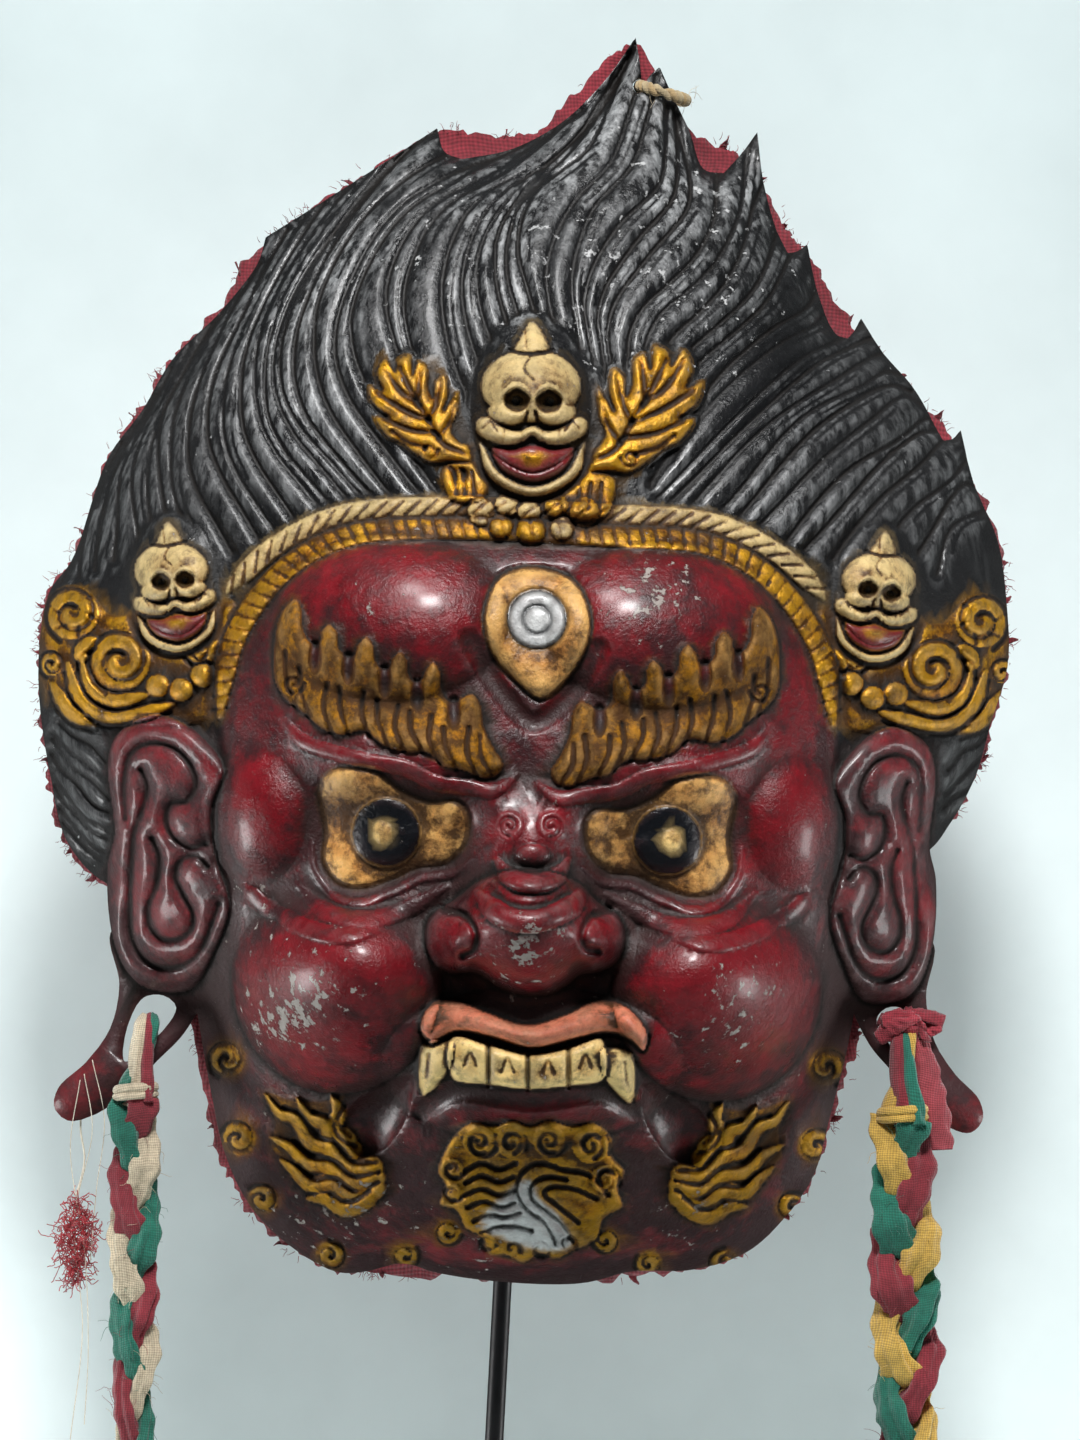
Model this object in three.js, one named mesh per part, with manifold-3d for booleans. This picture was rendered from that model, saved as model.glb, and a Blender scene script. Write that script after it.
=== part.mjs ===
// Lacquered papier-mache dance mask with cloth braids, held up on a steel rod with a plate for a foot.
// Millimetres, +Z up, the face looks along -Y. Everything is laid out from the middle of the stand's plate.
import * as THREE from "three";
import Module from "manifold-3d";

// Driving dimensions of the mask
const MASK_HEIGHT = 400;
const CHIN_HEIGHT = 230;
const RIM_Y = 62;
const WALL = 5;
const RIM_DEPTH = 12;
const HEAD_DEPTH = 84;
const FACE_DEPTH = 16;
const LOBE_DEPTH = 27;
const LOBE_APRON = 14;
const SMOOTHING = 2;

// Driving dimensions of the stand and the cloth
const BASE = { wide: 200, deep: 160, high: 8, bevel: 1.5 };
const ROD_RADIUS = 3;
const ROD_Y = RIM_Y + 4;
const ROD_LEAN = 0.055;
const CROSSBAR = { half: 36, height: 196, gap: 0.6 };
const LINING = { gap: 3.6, thick: 1.5, slack: 1.5 };
const BRAID = { bottom: 52, knotLength: 24, neck: 2.6 };
const STRING = { radius: 1.5, hole: 4.6, at: [640, 84], far: [686, 98], back: -4, front: 20 };
const TUFT = { radius: 6, long: 28, thread: 0.5 };

// The front view is drawn on a sheet of 1080 by 1440 units
const SHEET = { middle: 533, chin: 1283, top: 35, mirror: 1054, drop: 8 };
const UNIT = MASK_HEIGHT / (SHEET.chin - SHEET.top);
const ROD_CHIN_U = 503;
const MASK_X = (SHEET.middle - ROD_CHIN_U) * UNIT + (CHIN_HEIGHT - BASE.high) * ROD_LEAN;

// Working grid and mesh sizes
const GRID = { step: 1.5, left: -162, bottom: -6, columns: 217, rows: 275 };
const MASK_TRIANGLES = 6700;
const MASK_BACK_WEIGHT = 0.06;
const LINING_TRIANGLES = 900;

const COLOURS = {
  lacquer: 0x5a1218,
  cloth: 0x8c2a34,
  cream: 0xcbb98c,
  braid: 0x7d3038,
  steel: 0x15161a,
};

// Sheet points to millimetres across and above the chin
const place = ([u, v]) => [(u - SHEET.middle) * UNIT, (SHEET.chin - v) * UNIT];
const leftSide = (point) => point;
const rightSide = ([u, v]) => [SHEET.mirror - u, v + SHEET.drop];
const rightEarSide = ([u, v]) => [882 + (170 - u) * 0.87, v + 12];

function curve(points, closed = false, spacing = 2) {
  const vectors = points.map(place).map(([x, h]) => new THREE.Vector3(x, h, 0));
  const spline = new THREE.CatmullRomCurve3(vectors, closed, "centripetal");
  const count = Math.max(4, Math.ceil(spline.getLength() / spacing));
  const samples = spline.getPoints(count).map((p) => [p.x, p.y]);
  return closed ? samples.slice(0, -1) : samples;
}

// Runs of smooth curve that meet in sharp corners
const cornered = (runs) => runs.flatMap((run) => curve(run).slice(0, -1));

// Outline of hair and jaw: each run ends in a tip or a notch
const HEAD_RUNS = [
  [[636, 35], [640, 60], [643, 88]],
  [[643, 88], [650, 74], [660, 65]],
  [[660, 65], [672, 92], [690, 130], [704, 168], [724, 172]],
  [[724, 172], [742, 152], [758, 130]],
  [[758, 130], [764, 180], [776, 226], [788, 252]],
  [[788, 252], [798, 250], [808, 243]],
  [[808, 243], [818, 290], [836, 333], [848, 338]],
  [[848, 338], [855, 330], [862, 317]],
  [[862, 317], [884, 352], [915, 388], [944, 440]],
  [[944, 440], [954, 438], [962, 429]],
  [
    [962, 429], [974, 480], [999, 541], [1007, 595], [1009, 662], [993, 719],
    [976, 778], [951, 824], [930, 850], [895, 862], [866, 930], [855, 1010],
  ],
  [
    [855, 1010], [845, 1060], [830, 1120], [814, 1177], [786, 1218], [748, 1253], [692, 1271],
    [633, 1272], [582, 1284], [495, 1282], [434, 1273], [403, 1264], [364, 1273], [335, 1273],
    [284, 1243], [248, 1205], [224, 1154], [211, 1096], [196, 1006],
  ],
  [
    [196, 1006], [180, 930], [150, 890], [103, 882], [66, 842], [49, 775], [38, 698], [38, 648],
    [48, 592], [71, 559], [107, 457], [141, 410], [172, 358], [220, 310], [257, 262], [265, 236],
  ],
  [[265, 236], [310, 208], [370, 170], [437, 126]],
  [[437, 126], [444, 150], [462, 158]],
  [[462, 158], [510, 148], [560, 122], [604, 80], [636, 35]],
];
const EAR = [
  [155, 714], [120, 732], [109, 760], [115, 833], [107, 870], [116, 950], [140, 985], [190, 990],
  [216, 950], [231, 905], [216, 850], [214, 808], [226, 768], [206, 738], [180, 720],
];
const LOBE = [
  [112, 930], [119, 985], [110, 1028], [86, 1062], [58, 1088], [54, 1108], [68, 1121], [92, 1116],
  [126, 1094], [156, 1062], [184, 1033], [206, 990], [214, 930],
];
const SLIT = [[143, 998], [164, 996], [176, 1008], [150, 1044], [124, 1062], [126, 1030]];
const LINING_RUN = [
  [636, 40], [690, 128], [736, 140], [768, 172], [800, 226], [824, 250], [852, 300], [905, 366],
  [948, 412], [984, 470], [1008, 548], [1007, 600], [1009, 662], [996, 722], [976, 782], [948, 830],
  [905, 870], [868, 935], [862, 1020], [846, 1080], [832, 1130], [814, 1182], [780, 1224],
  [738, 1258], [690, 1272], [582, 1281], [495, 1280], [364, 1274], [330, 1272], [280, 1243],
  [242, 1205], [216, 1150], [202, 1090], [188, 1000], [176, 930], [150, 893], [100, 884], [62, 842],
  [46, 775], [36, 698], [36, 648], [46, 590], [70, 556], [104, 458], [138, 408], [170, 355],
  [217, 306], [246, 258], [300, 212], [368, 168], [440, 128], [500, 134], [532, 130], [575, 92], [606, 58],
];

// Face inside the diadem
const FACE = [
  [533, 548], [440, 541], [352, 546], [301, 569], [265, 610], [239, 655], [228, 720], [222, 800],
  [226, 880], [224, 950], [226, 1020], [250, 1080], [320, 1130], [400, 1150], [533, 1150], [666, 1150],
  [740, 1135], [806, 1085], [830, 1020], [832, 950], [830, 880], [834, 800], [826, 720], [808, 655],
  [775, 598], [714, 559], [640, 541],
];

// Raised almonds, shields and patches
const EYE = [
  [320, 792], [330, 772], [351, 766], [378, 770], [404, 789], [430, 799], [458, 799], [470, 815],
  [466, 845], [448, 862], [420, 866], [394, 878], [364, 887], [340, 882], [324, 860], [326, 830],
];
const THIRD_EYE = [
  [520, 569], [498, 580], [484, 618], [492, 655], [515, 682], [541, 700], [568, 680], [588, 645],
  [590, 615], [574, 582], [548, 570],
];
const BEARD = [
  [446, 1134], [470, 1118], [560, 1116], [600, 1126], [616, 1160], [610, 1215], [588, 1250],
  [532, 1262], [484, 1250], [462, 1222], [444, 1180],
];
const HOLLOW = [
  [414, 1072], [410, 1108], [384, 1148], [360, 1154], [346, 1132], [350, 1106], [386, 1080],
];
const FANG = [[424, 1042], [454, 1040], [450, 1066], [434, 1084], [418, 1100], [419, 1064]];
const TEETH = [[472, 1057], [507, 1062], [547, 1063], [583, 1058]];

// Carved lines on one side, mirrored for the other
const BROW = [
  [509, 758], [470, 748], [430, 730], [390, 722], [350, 712], [315, 690], [294, 655], [300, 608],
];
const BROW_SCALLOPS = [[336, 728], [405, 745], [456, 760], [494, 763]];
const BROW_TONGUES = [
  [[484, 748], [470, 732], [472, 710]],
  [[458, 744], [446, 722], [452, 700]],
  [[436, 735], [424, 716], [430, 695]],
  [[402, 726], [386, 706], [391, 677]],
  [[366, 716], [346, 690], [351, 641]],
  [[334, 704], [318, 672], [322, 624]],
];
const EAR_LINES = [
  [[136, 816], [132, 768], [152, 745], [185, 758], [197, 782], [186, 804], [166, 800], [164, 782]],
  [
    [148, 800], [146, 838], [132, 880], [134, 930], [158, 962], [192, 950], [216, 905], [206, 866],
    [184, 862], [174, 880], [188, 908], [176, 934], [156, 920], [160, 876],
  ],
];
const CORNER_CURLS = [
  [[372, 1090], [330, 1108], [292, 1096], [276, 1108]],
  [[350, 1120], [320, 1134], [296, 1128], [284, 1140]],
  [[352, 1160], [326, 1164], [304, 1156], [300, 1142]],
  [[376, 1176], [346, 1194], [322, 1190], [314, 1176]],
];
const JAW_CURLS = [[226, 1057], [238, 1139], [263, 1200], [330, 1250], [405, 1250]];
const SIDE_SCROLLS = [
  { at: [122, 662], radius: 30 },
  { at: [74, 614], radius: 27 },
  { at: [200, 650], radius: 16 },
];
const SIDE_RIBS = [
  [[66, 668], [96, 696], [153, 700], [200, 690]],
  [[52, 690], [92, 716], [150, 719], [214, 712]],
  [[58, 640], [84, 648], [96, 634]],
];
const SIDE_BEADS = [[216, 640], [206, 674], [186, 684], [162, 676]];
const DIADEM_ROPE = [[533, 516], [440, 512], [340, 520], [276, 550], [232, 592]];
const DIADEM_BAND = [[533, 532], [440, 530], [350, 538], [296, 564], [256, 606], [232, 650], [222, 708]];
const DIADEM_BEADS = [[484, 513], [506, 508], [530, 514], [502, 528], [532, 532], [560, 510], [585, 515]];
const LEAVES = [
  [[480, 462], [446, 440], [420, 404], [386, 380]],
  [[440, 436], [428, 396], [428, 362]],
  [[458, 450], [452, 416], [462, 392]],
  [[430, 440], [400, 430], [376, 412]],
  [[484, 470], [440, 466], [412, 448]],
];

// Guide strands of the hair, root to end, in order from left to right
const STRANDS = [
  [[62, 585], [78, 530], [98, 480], [118, 444]],
  [[118, 560], [118, 490], [140, 430], [172, 366]],
  [[205, 560], [178, 480], [180, 400], [205, 345], [240, 285]],
  [[262, 548], [215, 450], [215, 380], [245, 310], [290, 226]],
  [[330, 520], [262, 430], [258, 350], [290, 270], [345, 186]],
  [[385, 508], [300, 400], [295, 330], [335, 240], [400, 160], [435, 130]],
  [[425, 505], [345, 380], [340, 310], [385, 220], [450, 176], [520, 146]],
  [[470, 470], [415, 350], [405, 290], [440, 215], [520, 165], [585, 104]],
  [[500, 420], [470, 330], [465, 270], [490, 205], [560, 155], [615, 75]],
  [[533, 318], [521, 250], [535, 190], [585, 145], [618, 90], [635, 42]],
  [[580, 350], [572, 280], [596, 215], [636, 170], [648, 125], [657, 74]],
  [[620, 400], [612, 320], [652, 250], [688, 205], [692, 165], [684, 120]],
  [[650, 420], [652, 340], [712, 275], [738, 220], [746, 178], [756, 136]],
  [[650, 470], [690, 380], [758, 310], [786, 275], [804, 246]],
  [[650, 500], [730, 420], [800, 360], [838, 340], [858, 320]],
  [[710, 515], [790, 430], [848, 390], [880, 372], [900, 374]],
  [[780, 545], [845, 470], [890, 436], [925, 415], [936, 424]],
  [[840, 560], [880, 496], [930, 460], [958, 434]],
  [[915, 560], [938, 515], [966, 490], [978, 484]],
  [[960, 590], [975, 556], [990, 540], [998, 538]],
];
const SIDE_STRANDS = [
  [[60, 722], [84, 742], [106, 760]],
  [[52, 742], [80, 776], [110, 800]],
  [[50, 772], [76, 808], [108, 832]],
  [[58, 806], [80, 834], [104, 850]],
];

// Relief on the working grid
const total = GRID.columns * GRID.rows;
const gridX = (i) => GRID.left + (i % GRID.columns) * GRID.step;
const gridH = (i) => GRID.bottom + Math.floor(i / GRID.columns) * GRID.step;

function windowOf(points, reach) {
  const xs = points.map((p) => p[0]);
  const hs = points.map((p) => p[1]);
  const column = (x) => THREE.MathUtils.clamp(Math.round((x - GRID.left) / GRID.step), 0, GRID.columns - 1);
  const row = (h) => THREE.MathUtils.clamp(Math.round((h - GRID.bottom) / GRID.step), 0, GRID.rows - 1);
  const cells = [];
  for (let r = row(Math.min(...hs) - reach); r <= row(Math.max(...hs) + reach); r++)
    for (let c = column(Math.min(...xs) - reach); c <= column(Math.max(...xs) + reach); c++)
      cells.push(r * GRID.columns + c);
  return cells;
}

// Distance to a line of points, and how far along it the nearest point lies
function nearest(points, x, h, closed = false) {
  let best = Infinity;
  let along = 0;
  const last = closed ? points.length : points.length - 1;
  for (let k = 0; k < last; k++) {
    const start = points[k];
    const end = points[k + 1 < points.length ? k + 1 : 0];
    const dx = end[0] - start[0];
    const dh = end[1] - start[1];
    const ax = x - start[0];
    const ah = h - start[1];
    const t = Math.max(0, Math.min(1, (ax * dx + ah * dh) / (dx * dx + dh * dh || 1)));
    const d = (ax - t * dx) ** 2 + (ah - t * dh) ** 2;
    if (d < best) {
      best = d;
      along = (k + t) / last;
    }
  }
  return [Math.sqrt(best), along];
}

function contains(points, x, h) {
  let inside = false;
  for (let k = 0, j = points.length - 1; k < points.length; j = k++) {
    const a = points[k];
    const b = points[j];
    if (a[1] > h !== b[1] > h && x < ((b[0] - a[0]) * (h - a[1])) / (b[1] - a[1]) + a[0]) inside = !inside;
  }
  return inside;
}

// Signed distance of every grid node, positive inside
function insideness(points) {
  const field = new Float64Array(total);
  for (let i = 0; i < total; i++) {
    const [d] = nearest(points, gridX(i), gridH(i), true);
    field[i] = contains(points, gridX(i), gridH(i)) ? d : -d;
  }
  return field;
}

// Soft dome over any outline: the shape a stretched skin takes when it is blown up
function inflate(field, power) {
  const skin = new Float64Array(total);
  for (let pass = 0; pass < 500; pass++)
    for (let r = 1; r < GRID.rows - 1; r++)
      for (let c = 1; c < GRID.columns - 1; c++) {
        const i = r * GRID.columns + c;
        if (field[i] <= 0) continue;
        const around = skin[i - 1] + skin[i + 1] + skin[i - GRID.columns] + skin[i + GRID.columns];
        skin[i] += 1.9 * ((around + 1) / 4 - skin[i]);
      }
  const peak = skin.reduce((a, b) => Math.max(a, b), 0);
  return skin.map((value) => Math.pow(Math.max(value, 0) / peak, power));
}

function blur(field, radius, passes) {
  const reach = Math.round(radius / GRID.step);
  let source = field;
  for (let pass = 0; pass < passes; pass++)
    for (const [stride, length] of [[1, GRID.columns], [GRID.columns, GRID.rows]]) {
      const result = new Float64Array(total);
      for (let i = 0; i < total; i++) {
        const position = stride === 1 ? i % GRID.columns : Math.floor(i / GRID.columns);
        let sum = 0;
        for (let k = -reach; k <= reach; k++)
          sum += source[i + THREE.MathUtils.clamp(k, -position, length - 1 - position) * stride];
        result[i] = sum / (2 * reach + 1);
      }
      source = result;
    }
  return source;
}

const round = (t) => Math.sqrt(Math.max(0, 1 - t * t));

class Relief {
  constructor(depth) {
    this.depth = depth;
  }
  pillow(points, height, ramp) {
    for (const i of windowOf(points, 0)) {
      if (!contains(points, gridX(i), gridH(i))) continue;
      const [d] = nearest(points, gridX(i), gridH(i), true);
      this.depth[i] += height * round(1 - Math.min(1, d / ramp));
    }
  }
  ridge(points, width, height, taper = 0.35) {
    for (const i of windowOf(points, width)) {
      const [d, along] = nearest(points, gridX(i), gridH(i));
      const end = Math.min(1, Math.min(along, 1 - along) / taper + 0.35);
      if (d < width * end) this.depth[i] += height * end * round(d / (width * end));
    }
  }
  swell(points, width, height) {
    for (const i of windowOf(points, width)) {
      const [d, along] = nearest(points, gridX(i), gridH(i));
      const end = Math.min(1, 3 * along, 3 * (1 - along));
      if (d < width) this.depth[i] += height * end * (1 - (d / width) ** 2) ** 1.5;
    }
  }
  groove(points, width, depth) {
    for (const i of windowOf(points, width)) {
      const [d] = nearest(points, gridX(i), gridH(i));
      if (d < width) this.depth[i] -= depth * (1 - (d / width) ** 2);
    }
  }
  ball([x, h], [wide, tall], height, power = 0.5) {
    for (const i of windowOf([[x, h]], Math.max(wide, tall))) {
      const r = ((gridX(i) - x) / wide) ** 2 + ((gridH(i) - h) / tall) ** 2;
      if (r < 1) this.depth[i] += height * Math.pow(1 - r, power);
    }
  }
  // A bulge with a crisp lower edge that melts away upward
  cheek([x, h], [wide, tall, top], height) {
    for (const i of windowOf([[x, h]], Math.max(wide, tall, top))) {
      const rise = Math.max(0, gridH(i) - h) / top;
      const r = ((gridX(i) - x) / wide) ** 2 + (rise || (gridH(i) - h) / tall) ** 2;
      if (r < 1) this.depth[i] += height * Math.pow(1 - r, 0.75 + 1.1 * rise);
    }
  }
}

function spiral([u, v], radius, turns = 1.4, start = 0, hand = 1) {
  const points = [];
  for (let k = 0; k <= 16; k++) {
    const angle = start + hand * turns * 2 * Math.PI * (k / 16);
    const r = radius * (1 - 0.8 * (k / 16));
    points.push([u + r * Math.cos(angle), v + r * Math.sin(angle)]);
  }
  return curve(points, false, 1.5);
}

// A skull with its topknot, jaw and open mouth, drawn about the middle of its dome
function carveSkull(relief, [u, v], size, tilt, lift) {
  const turn = ([a, b]) => [
    u + size * (a * Math.cos(tilt) - b * Math.sin(tilt)),
    v + size * (a * Math.sin(tilt) + b * Math.cos(tilt)),
  ];
  const unit = size * UNIT;
  const spot = (a, b) => place(turn([a, b]));
  const line = (points) => curve(points.map(turn));
  const region = (points) => curve(points.map(turn), true);
  relief.ball(spot(0, 20), [62 * unit, 100 * unit], lift, 0.9);
  relief.pillow(region([[0, -74], [-14, -52], [-24, -34], [24, -34], [15, -52]]), 4 * size, 4);
  relief.ball(spot(0, 2), [52 * unit, 40 * unit], 9 * size);
  relief.ball(spot(-15, 13), [12 * unit, 12 * unit], -6 * size, 0.8);
  relief.ball(spot(19, 14), [12 * unit, 12 * unit], -6 * size, 0.8);
  relief.ridge(line([[-54, 44], [-26, 54], [2, 48], [28, 54], [52, 44]]), 9 * unit, 5 * size);
  relief.pillow(region([[-42, 62], [0, 76], [46, 62], [28, 92], [3, 102], [-24, 92]]), 2.5 * size, 3);
  relief.ridge(line([[-50, 62], [-34, 98], [2, 114], [38, 98], [54, 62]]), 7 * unit, 4 * size);
}

function carveSide(relief, side, earSide) {
  const line = (points) => curve(points.map(side));
  const region = (points) => curve(points.map(side), true);
  const spot = (point) => place(side(point));
  const radii = (wide, tall) => [wide * UNIT, tall * UNIT];

  // Forehead, socket, temple and cheek
  relief.ball(spot([392, 618]), radii(118, 84), 12, 0.9);
  relief.swell(line([[520, 780], [440, 770], [360, 750], [290, 700]]), 60 * UNIT, 8);
  relief.ball(spot([398, 826]), radii(105, 70), -8, 1.3);
  relief.ball(spot([254, 812]), radii(56, 72), 9, 1);
  relief.ball(spot([344, 975]), radii(124, 112), 8, 1.6);
  relief.cheek(spot([332, 1000]), [...radii(104, 94), 112 * UNIT], 21);
  relief.groove(line([[456, 876], [414, 904], [352, 912], [292, 892]]), 3, 2);
  relief.groove(line([[448, 862], [410, 890], [356, 898], [306, 880]]), 2.4, 1.6);

  // Eye
  relief.groove(curve(EYE.map(side).concat([side(EYE[0])])), 3, 2);
  relief.pillow(region(EYE), 9, 15);
  relief.ball(spot([388, 830]), radii(35, 35), 3);

  // Brow with its tongues of flame
  relief.ridge(line(BROW), 21 * UNIT, 6, 0.2);
  for (const bump of BROW_SCALLOPS) relief.ball(spot(bump), radii(26, 18), 2.5);
  for (const tongue of BROW_TONGUES) relief.ridge(line(tongue), 11 * UNIT, 4);

  // Mouth corner, fang and curls beside them
  relief.pillow(region(HOLLOW), -11, 9);
  relief.pillow(region(FANG), 6, 4);
  for (const lock of CORNER_CURLS) relief.ridge(line(lock), 13 * UNIT, 3.2);
  for (const centre of JAW_CURLS) relief.ridge(spiral(side(centre), 15, 1.3), 5 * UNIT, 2.2);

  // Ear
  relief.pillow(curve(EAR.map(earSide), true), 8, 7);
  for (const groove of EAR_LINES) relief.groove(curve(groove.map(earSide)), 2.6, 3);

  // Diadem, leaf and side skull
  for (const leaf of LEAVES) relief.ridge(line(leaf), 15 * UNIT, 4.5);
  for (const { at, radius } of SIDE_SCROLLS) relief.ridge(spiral(side(at), radius, 1.5, 2), 8 * UNIT, 3.4);
  for (const rib of SIDE_RIBS) relief.ridge(line(rib), 9 * UNIT, 3);
  for (const bead of SIDE_BEADS) relief.ball(spot(bead), radii(12, 11), 3.4);
}

function carveMiddle(relief) {
  const spot = (u, v) => place([u, v]);
  const radii = (wide, tall) => [wide * UNIT, tall * UNIT];

  // Diadem: a rope over a flat band, with beads in the middle
  const across = (points) => curve([...points.slice(1).reverse(), ...points.map(rightSide).slice(1)]);
  relief.ridge(across(DIADEM_ROPE), 13 * UNIT, 5, 0.1);
  relief.ridge(across(DIADEM_BAND), 10 * UNIT, 3.5, 0.1);
  for (const [u, v] of DIADEM_BEADS) relief.ball(spot(u, v), radii(12, 11), 3);

  // Bridge, rolls, bulb and wings of the nose
  relief.swell(curve([[534, 690], [533, 780], [530, 860], [528, 960]]), 74 * UNIT, 18);
  relief.ball(spot(528, 942), radii(84, 60), 20, 0.65);
  for (const [u, v, start, hand] of [[450, 934, 0.4, -1], [606, 932, 2.7, 1]]) {
    relief.ball(spot(u, v), radii(30, 36), 14, 0.6);
    relief.groove(spiral([u, v], 21, 1.1, start, hand), 2, 2.4);
  }
  relief.ridge(curve([[471, 886], [496, 908], [530, 919], [564, 910], [588, 893]]), 14 * UNIT, 5);
  relief.ridge(curve([[488, 860], [505, 878], [527, 888], [548, 879], [564, 858]]), 12 * UNIT, 4.5);
  relief.ball(spot(532, 853), radii(16, 11), 3);
  for (const [u, hand] of [[510, 1], [551, -1]])
    relief.ridge(spiral([u, 823], 13, 1.2, 1.6, hand), 4.5 * UNIT, 2);

  // Third eye and the fold between the brows
  relief.pillow(curve(THIRD_EYE, true), 4.5, 6);
  relief.ball(spot(537, 621), radii(27, 27), 2);
  relief.groove(curve([[470, 640], [500, 690], [533, 720], [566, 700], [596, 650]]), 4, 2);

  // Lip, teeth and the muzzle they sit on
  relief.ball(spot(532, 1040), radii(150, 84), 15, 0.9);
  const lip = [
    [428, 1024], [442, 1008], [462, 1010], [492, 1020], [532, 1032], [570, 1021], [598, 1011], [620, 1012],
    [640, 1036],
  ];
  relief.ridge(curve(lip), 16 * UNIT, 8, 0.12);
  const seam = [
    [426, 1046], [460, 1034], [500, 1040], [532, 1048], [570, 1042], [604, 1034], [640, 1052],
  ];
  relief.groove(curve(seam), 2, 2);
  for (const [u, v] of TEETH) {
    const tooth = [[u - 15, v - 20], [u + 15, v - 20], [u + 15, v + 19], [u - 15, v + 19]];
    relief.pillow(tooth.map(place), 5, 3);
  }
  relief.groove(curve([[424, 1106], [460, 1086], [530, 1094], [600, 1088], [634, 1106]]), 4, 3);

  // Chin and beard
  relief.ball(spot(533, 1196), radii(230, 130), 13, 1.2);
  relief.pillow(curve(BEARD, true), 4, 4);
  for (const [u, v] of [[483, 1139], [512, 1136], [548, 1136], [587, 1141], [600, 1172], [470, 1172]])
    relief.ridge(spiral([u, v], 14, 1.2), 5 * UNIT, 2);
  for (const shift of [0, 16, 32, 48]) {
    const wave = [
      [470, 1190 + shift * 0.8], [500, 1184 + shift], [530, 1196 + shift], [572, 1190 + shift],
    ];
    relief.ridge(curve(wave), 6 * UNIT, 2);
  }
}

// Strands between two guides follow both
function carveHair(relief, shares) {
  const along = (guide, t) => new THREE.SplineCurve(guide.map((p) => new THREE.Vector2(...p))).getPoint(t);
  for (let k = 0; k + 1 < STRANDS.length; k++)
    for (const share of shares) {
      const points = [];
      for (let n = 0; n <= 8; n++) {
        const p = along(STRANDS[k], n / 8).lerp(along(STRANDS[k + 1], n / 8), share);
        points.push([p.x, p.y]);
      }
      relief.groove(curve(points), 3.4, 2.4);
    }
  for (const strand of SIDE_STRANDS)
    for (const side of [leftSide, rightSide]) relief.groove(curve(strand.map(side)), 3.2, 2.2);
}

// Plan of the mask, positive inside, with the lobes and their slits
const headPlan = insideness(cornered(HEAD_RUNS));
const earSides = [leftSide, rightEarSide];
const earPlans = earSides.map((side) => insideness(curve(EAR.map(side), true)));
const lobePlans = earSides.map((side) => insideness(curve(LOBE.map(side), true)));
const slitPlans = earSides.map((side) => insideness(curve(SLIT.map(side), true)));
const domePlan = headPlan.map((d, i) => Math.max(d, earPlans[0][i], earPlans[1][i]));
const stringHole = domePlan.map((_, i) => {
  const [x, h] = place(STRING.at);
  return Math.hypot(gridX(i) - x, gridH(i) - h) - STRING.hole;
});
const maskPlan = domePlan.map((d, i) => {
  const whole = Math.max(d, lobePlans[0][i], lobePlans[1][i]);
  return Math.min(whole, -slitPlans[0][i], -slitPlans[1][i], stringHole[i]);
});

function buildDepth() {
  const dome = inflate(domePlan, 0.62);
  const face = inflate(insideness(curve(FACE, true)), 0.34);
  const depth = dome.map((d, i) => RIM_DEPTH + HEAD_DEPTH * d + FACE_DEPTH * face[i]);
  for (let i = 0; i < total; i++) {
    const lobe = Math.max(lobePlans[0][i], lobePlans[1][i]);
    if (lobe > -LOBE_APRON) depth[i] = Math.max(depth[i], LOBE_DEPTH);
  }
  const relief = new Relief(blur(depth, 3, 2));
  carveHair(relief, [0, 0.5]);
  carveSide(relief, leftSide, leftSide);
  carveSide(relief, rightSide, rightEarSide);
  carveMiddle(relief);
  carveSkull(relief, [530, 387], 1, 0, 9);
  carveSkull(relief, [173, 572], 0.68, -0.1, 6);
  carveSkull(relief, [877, 580], 0.68, 0.12, 6);
  return relief.depth;
}

// A face behind the outer one: moved in by a distance on every side, then smoothed
function offsetInward(depth, distance) {
  const inner = new Float64Array(total);
  const reach = Math.ceil(distance / GRID.step);
  for (let i = 0; i < total; i++) {
    let lowest = depth[i] - distance;
    for (let r = -reach; r <= reach; r++)
      for (let c = -reach; c <= reach; c++) {
        const j = THREE.MathUtils.clamp(i + r * GRID.columns + c, 0, total - 1);
        const gap = distance * distance - (r * r + c * c) * GRID.step ** 2;
        if (gap > 0) lowest = Math.min(lowest, depth[j] - Math.sqrt(gap));
      }
    inner[i] = lowest;
  }
  return blur(inner, 6, 3);
}

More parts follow.
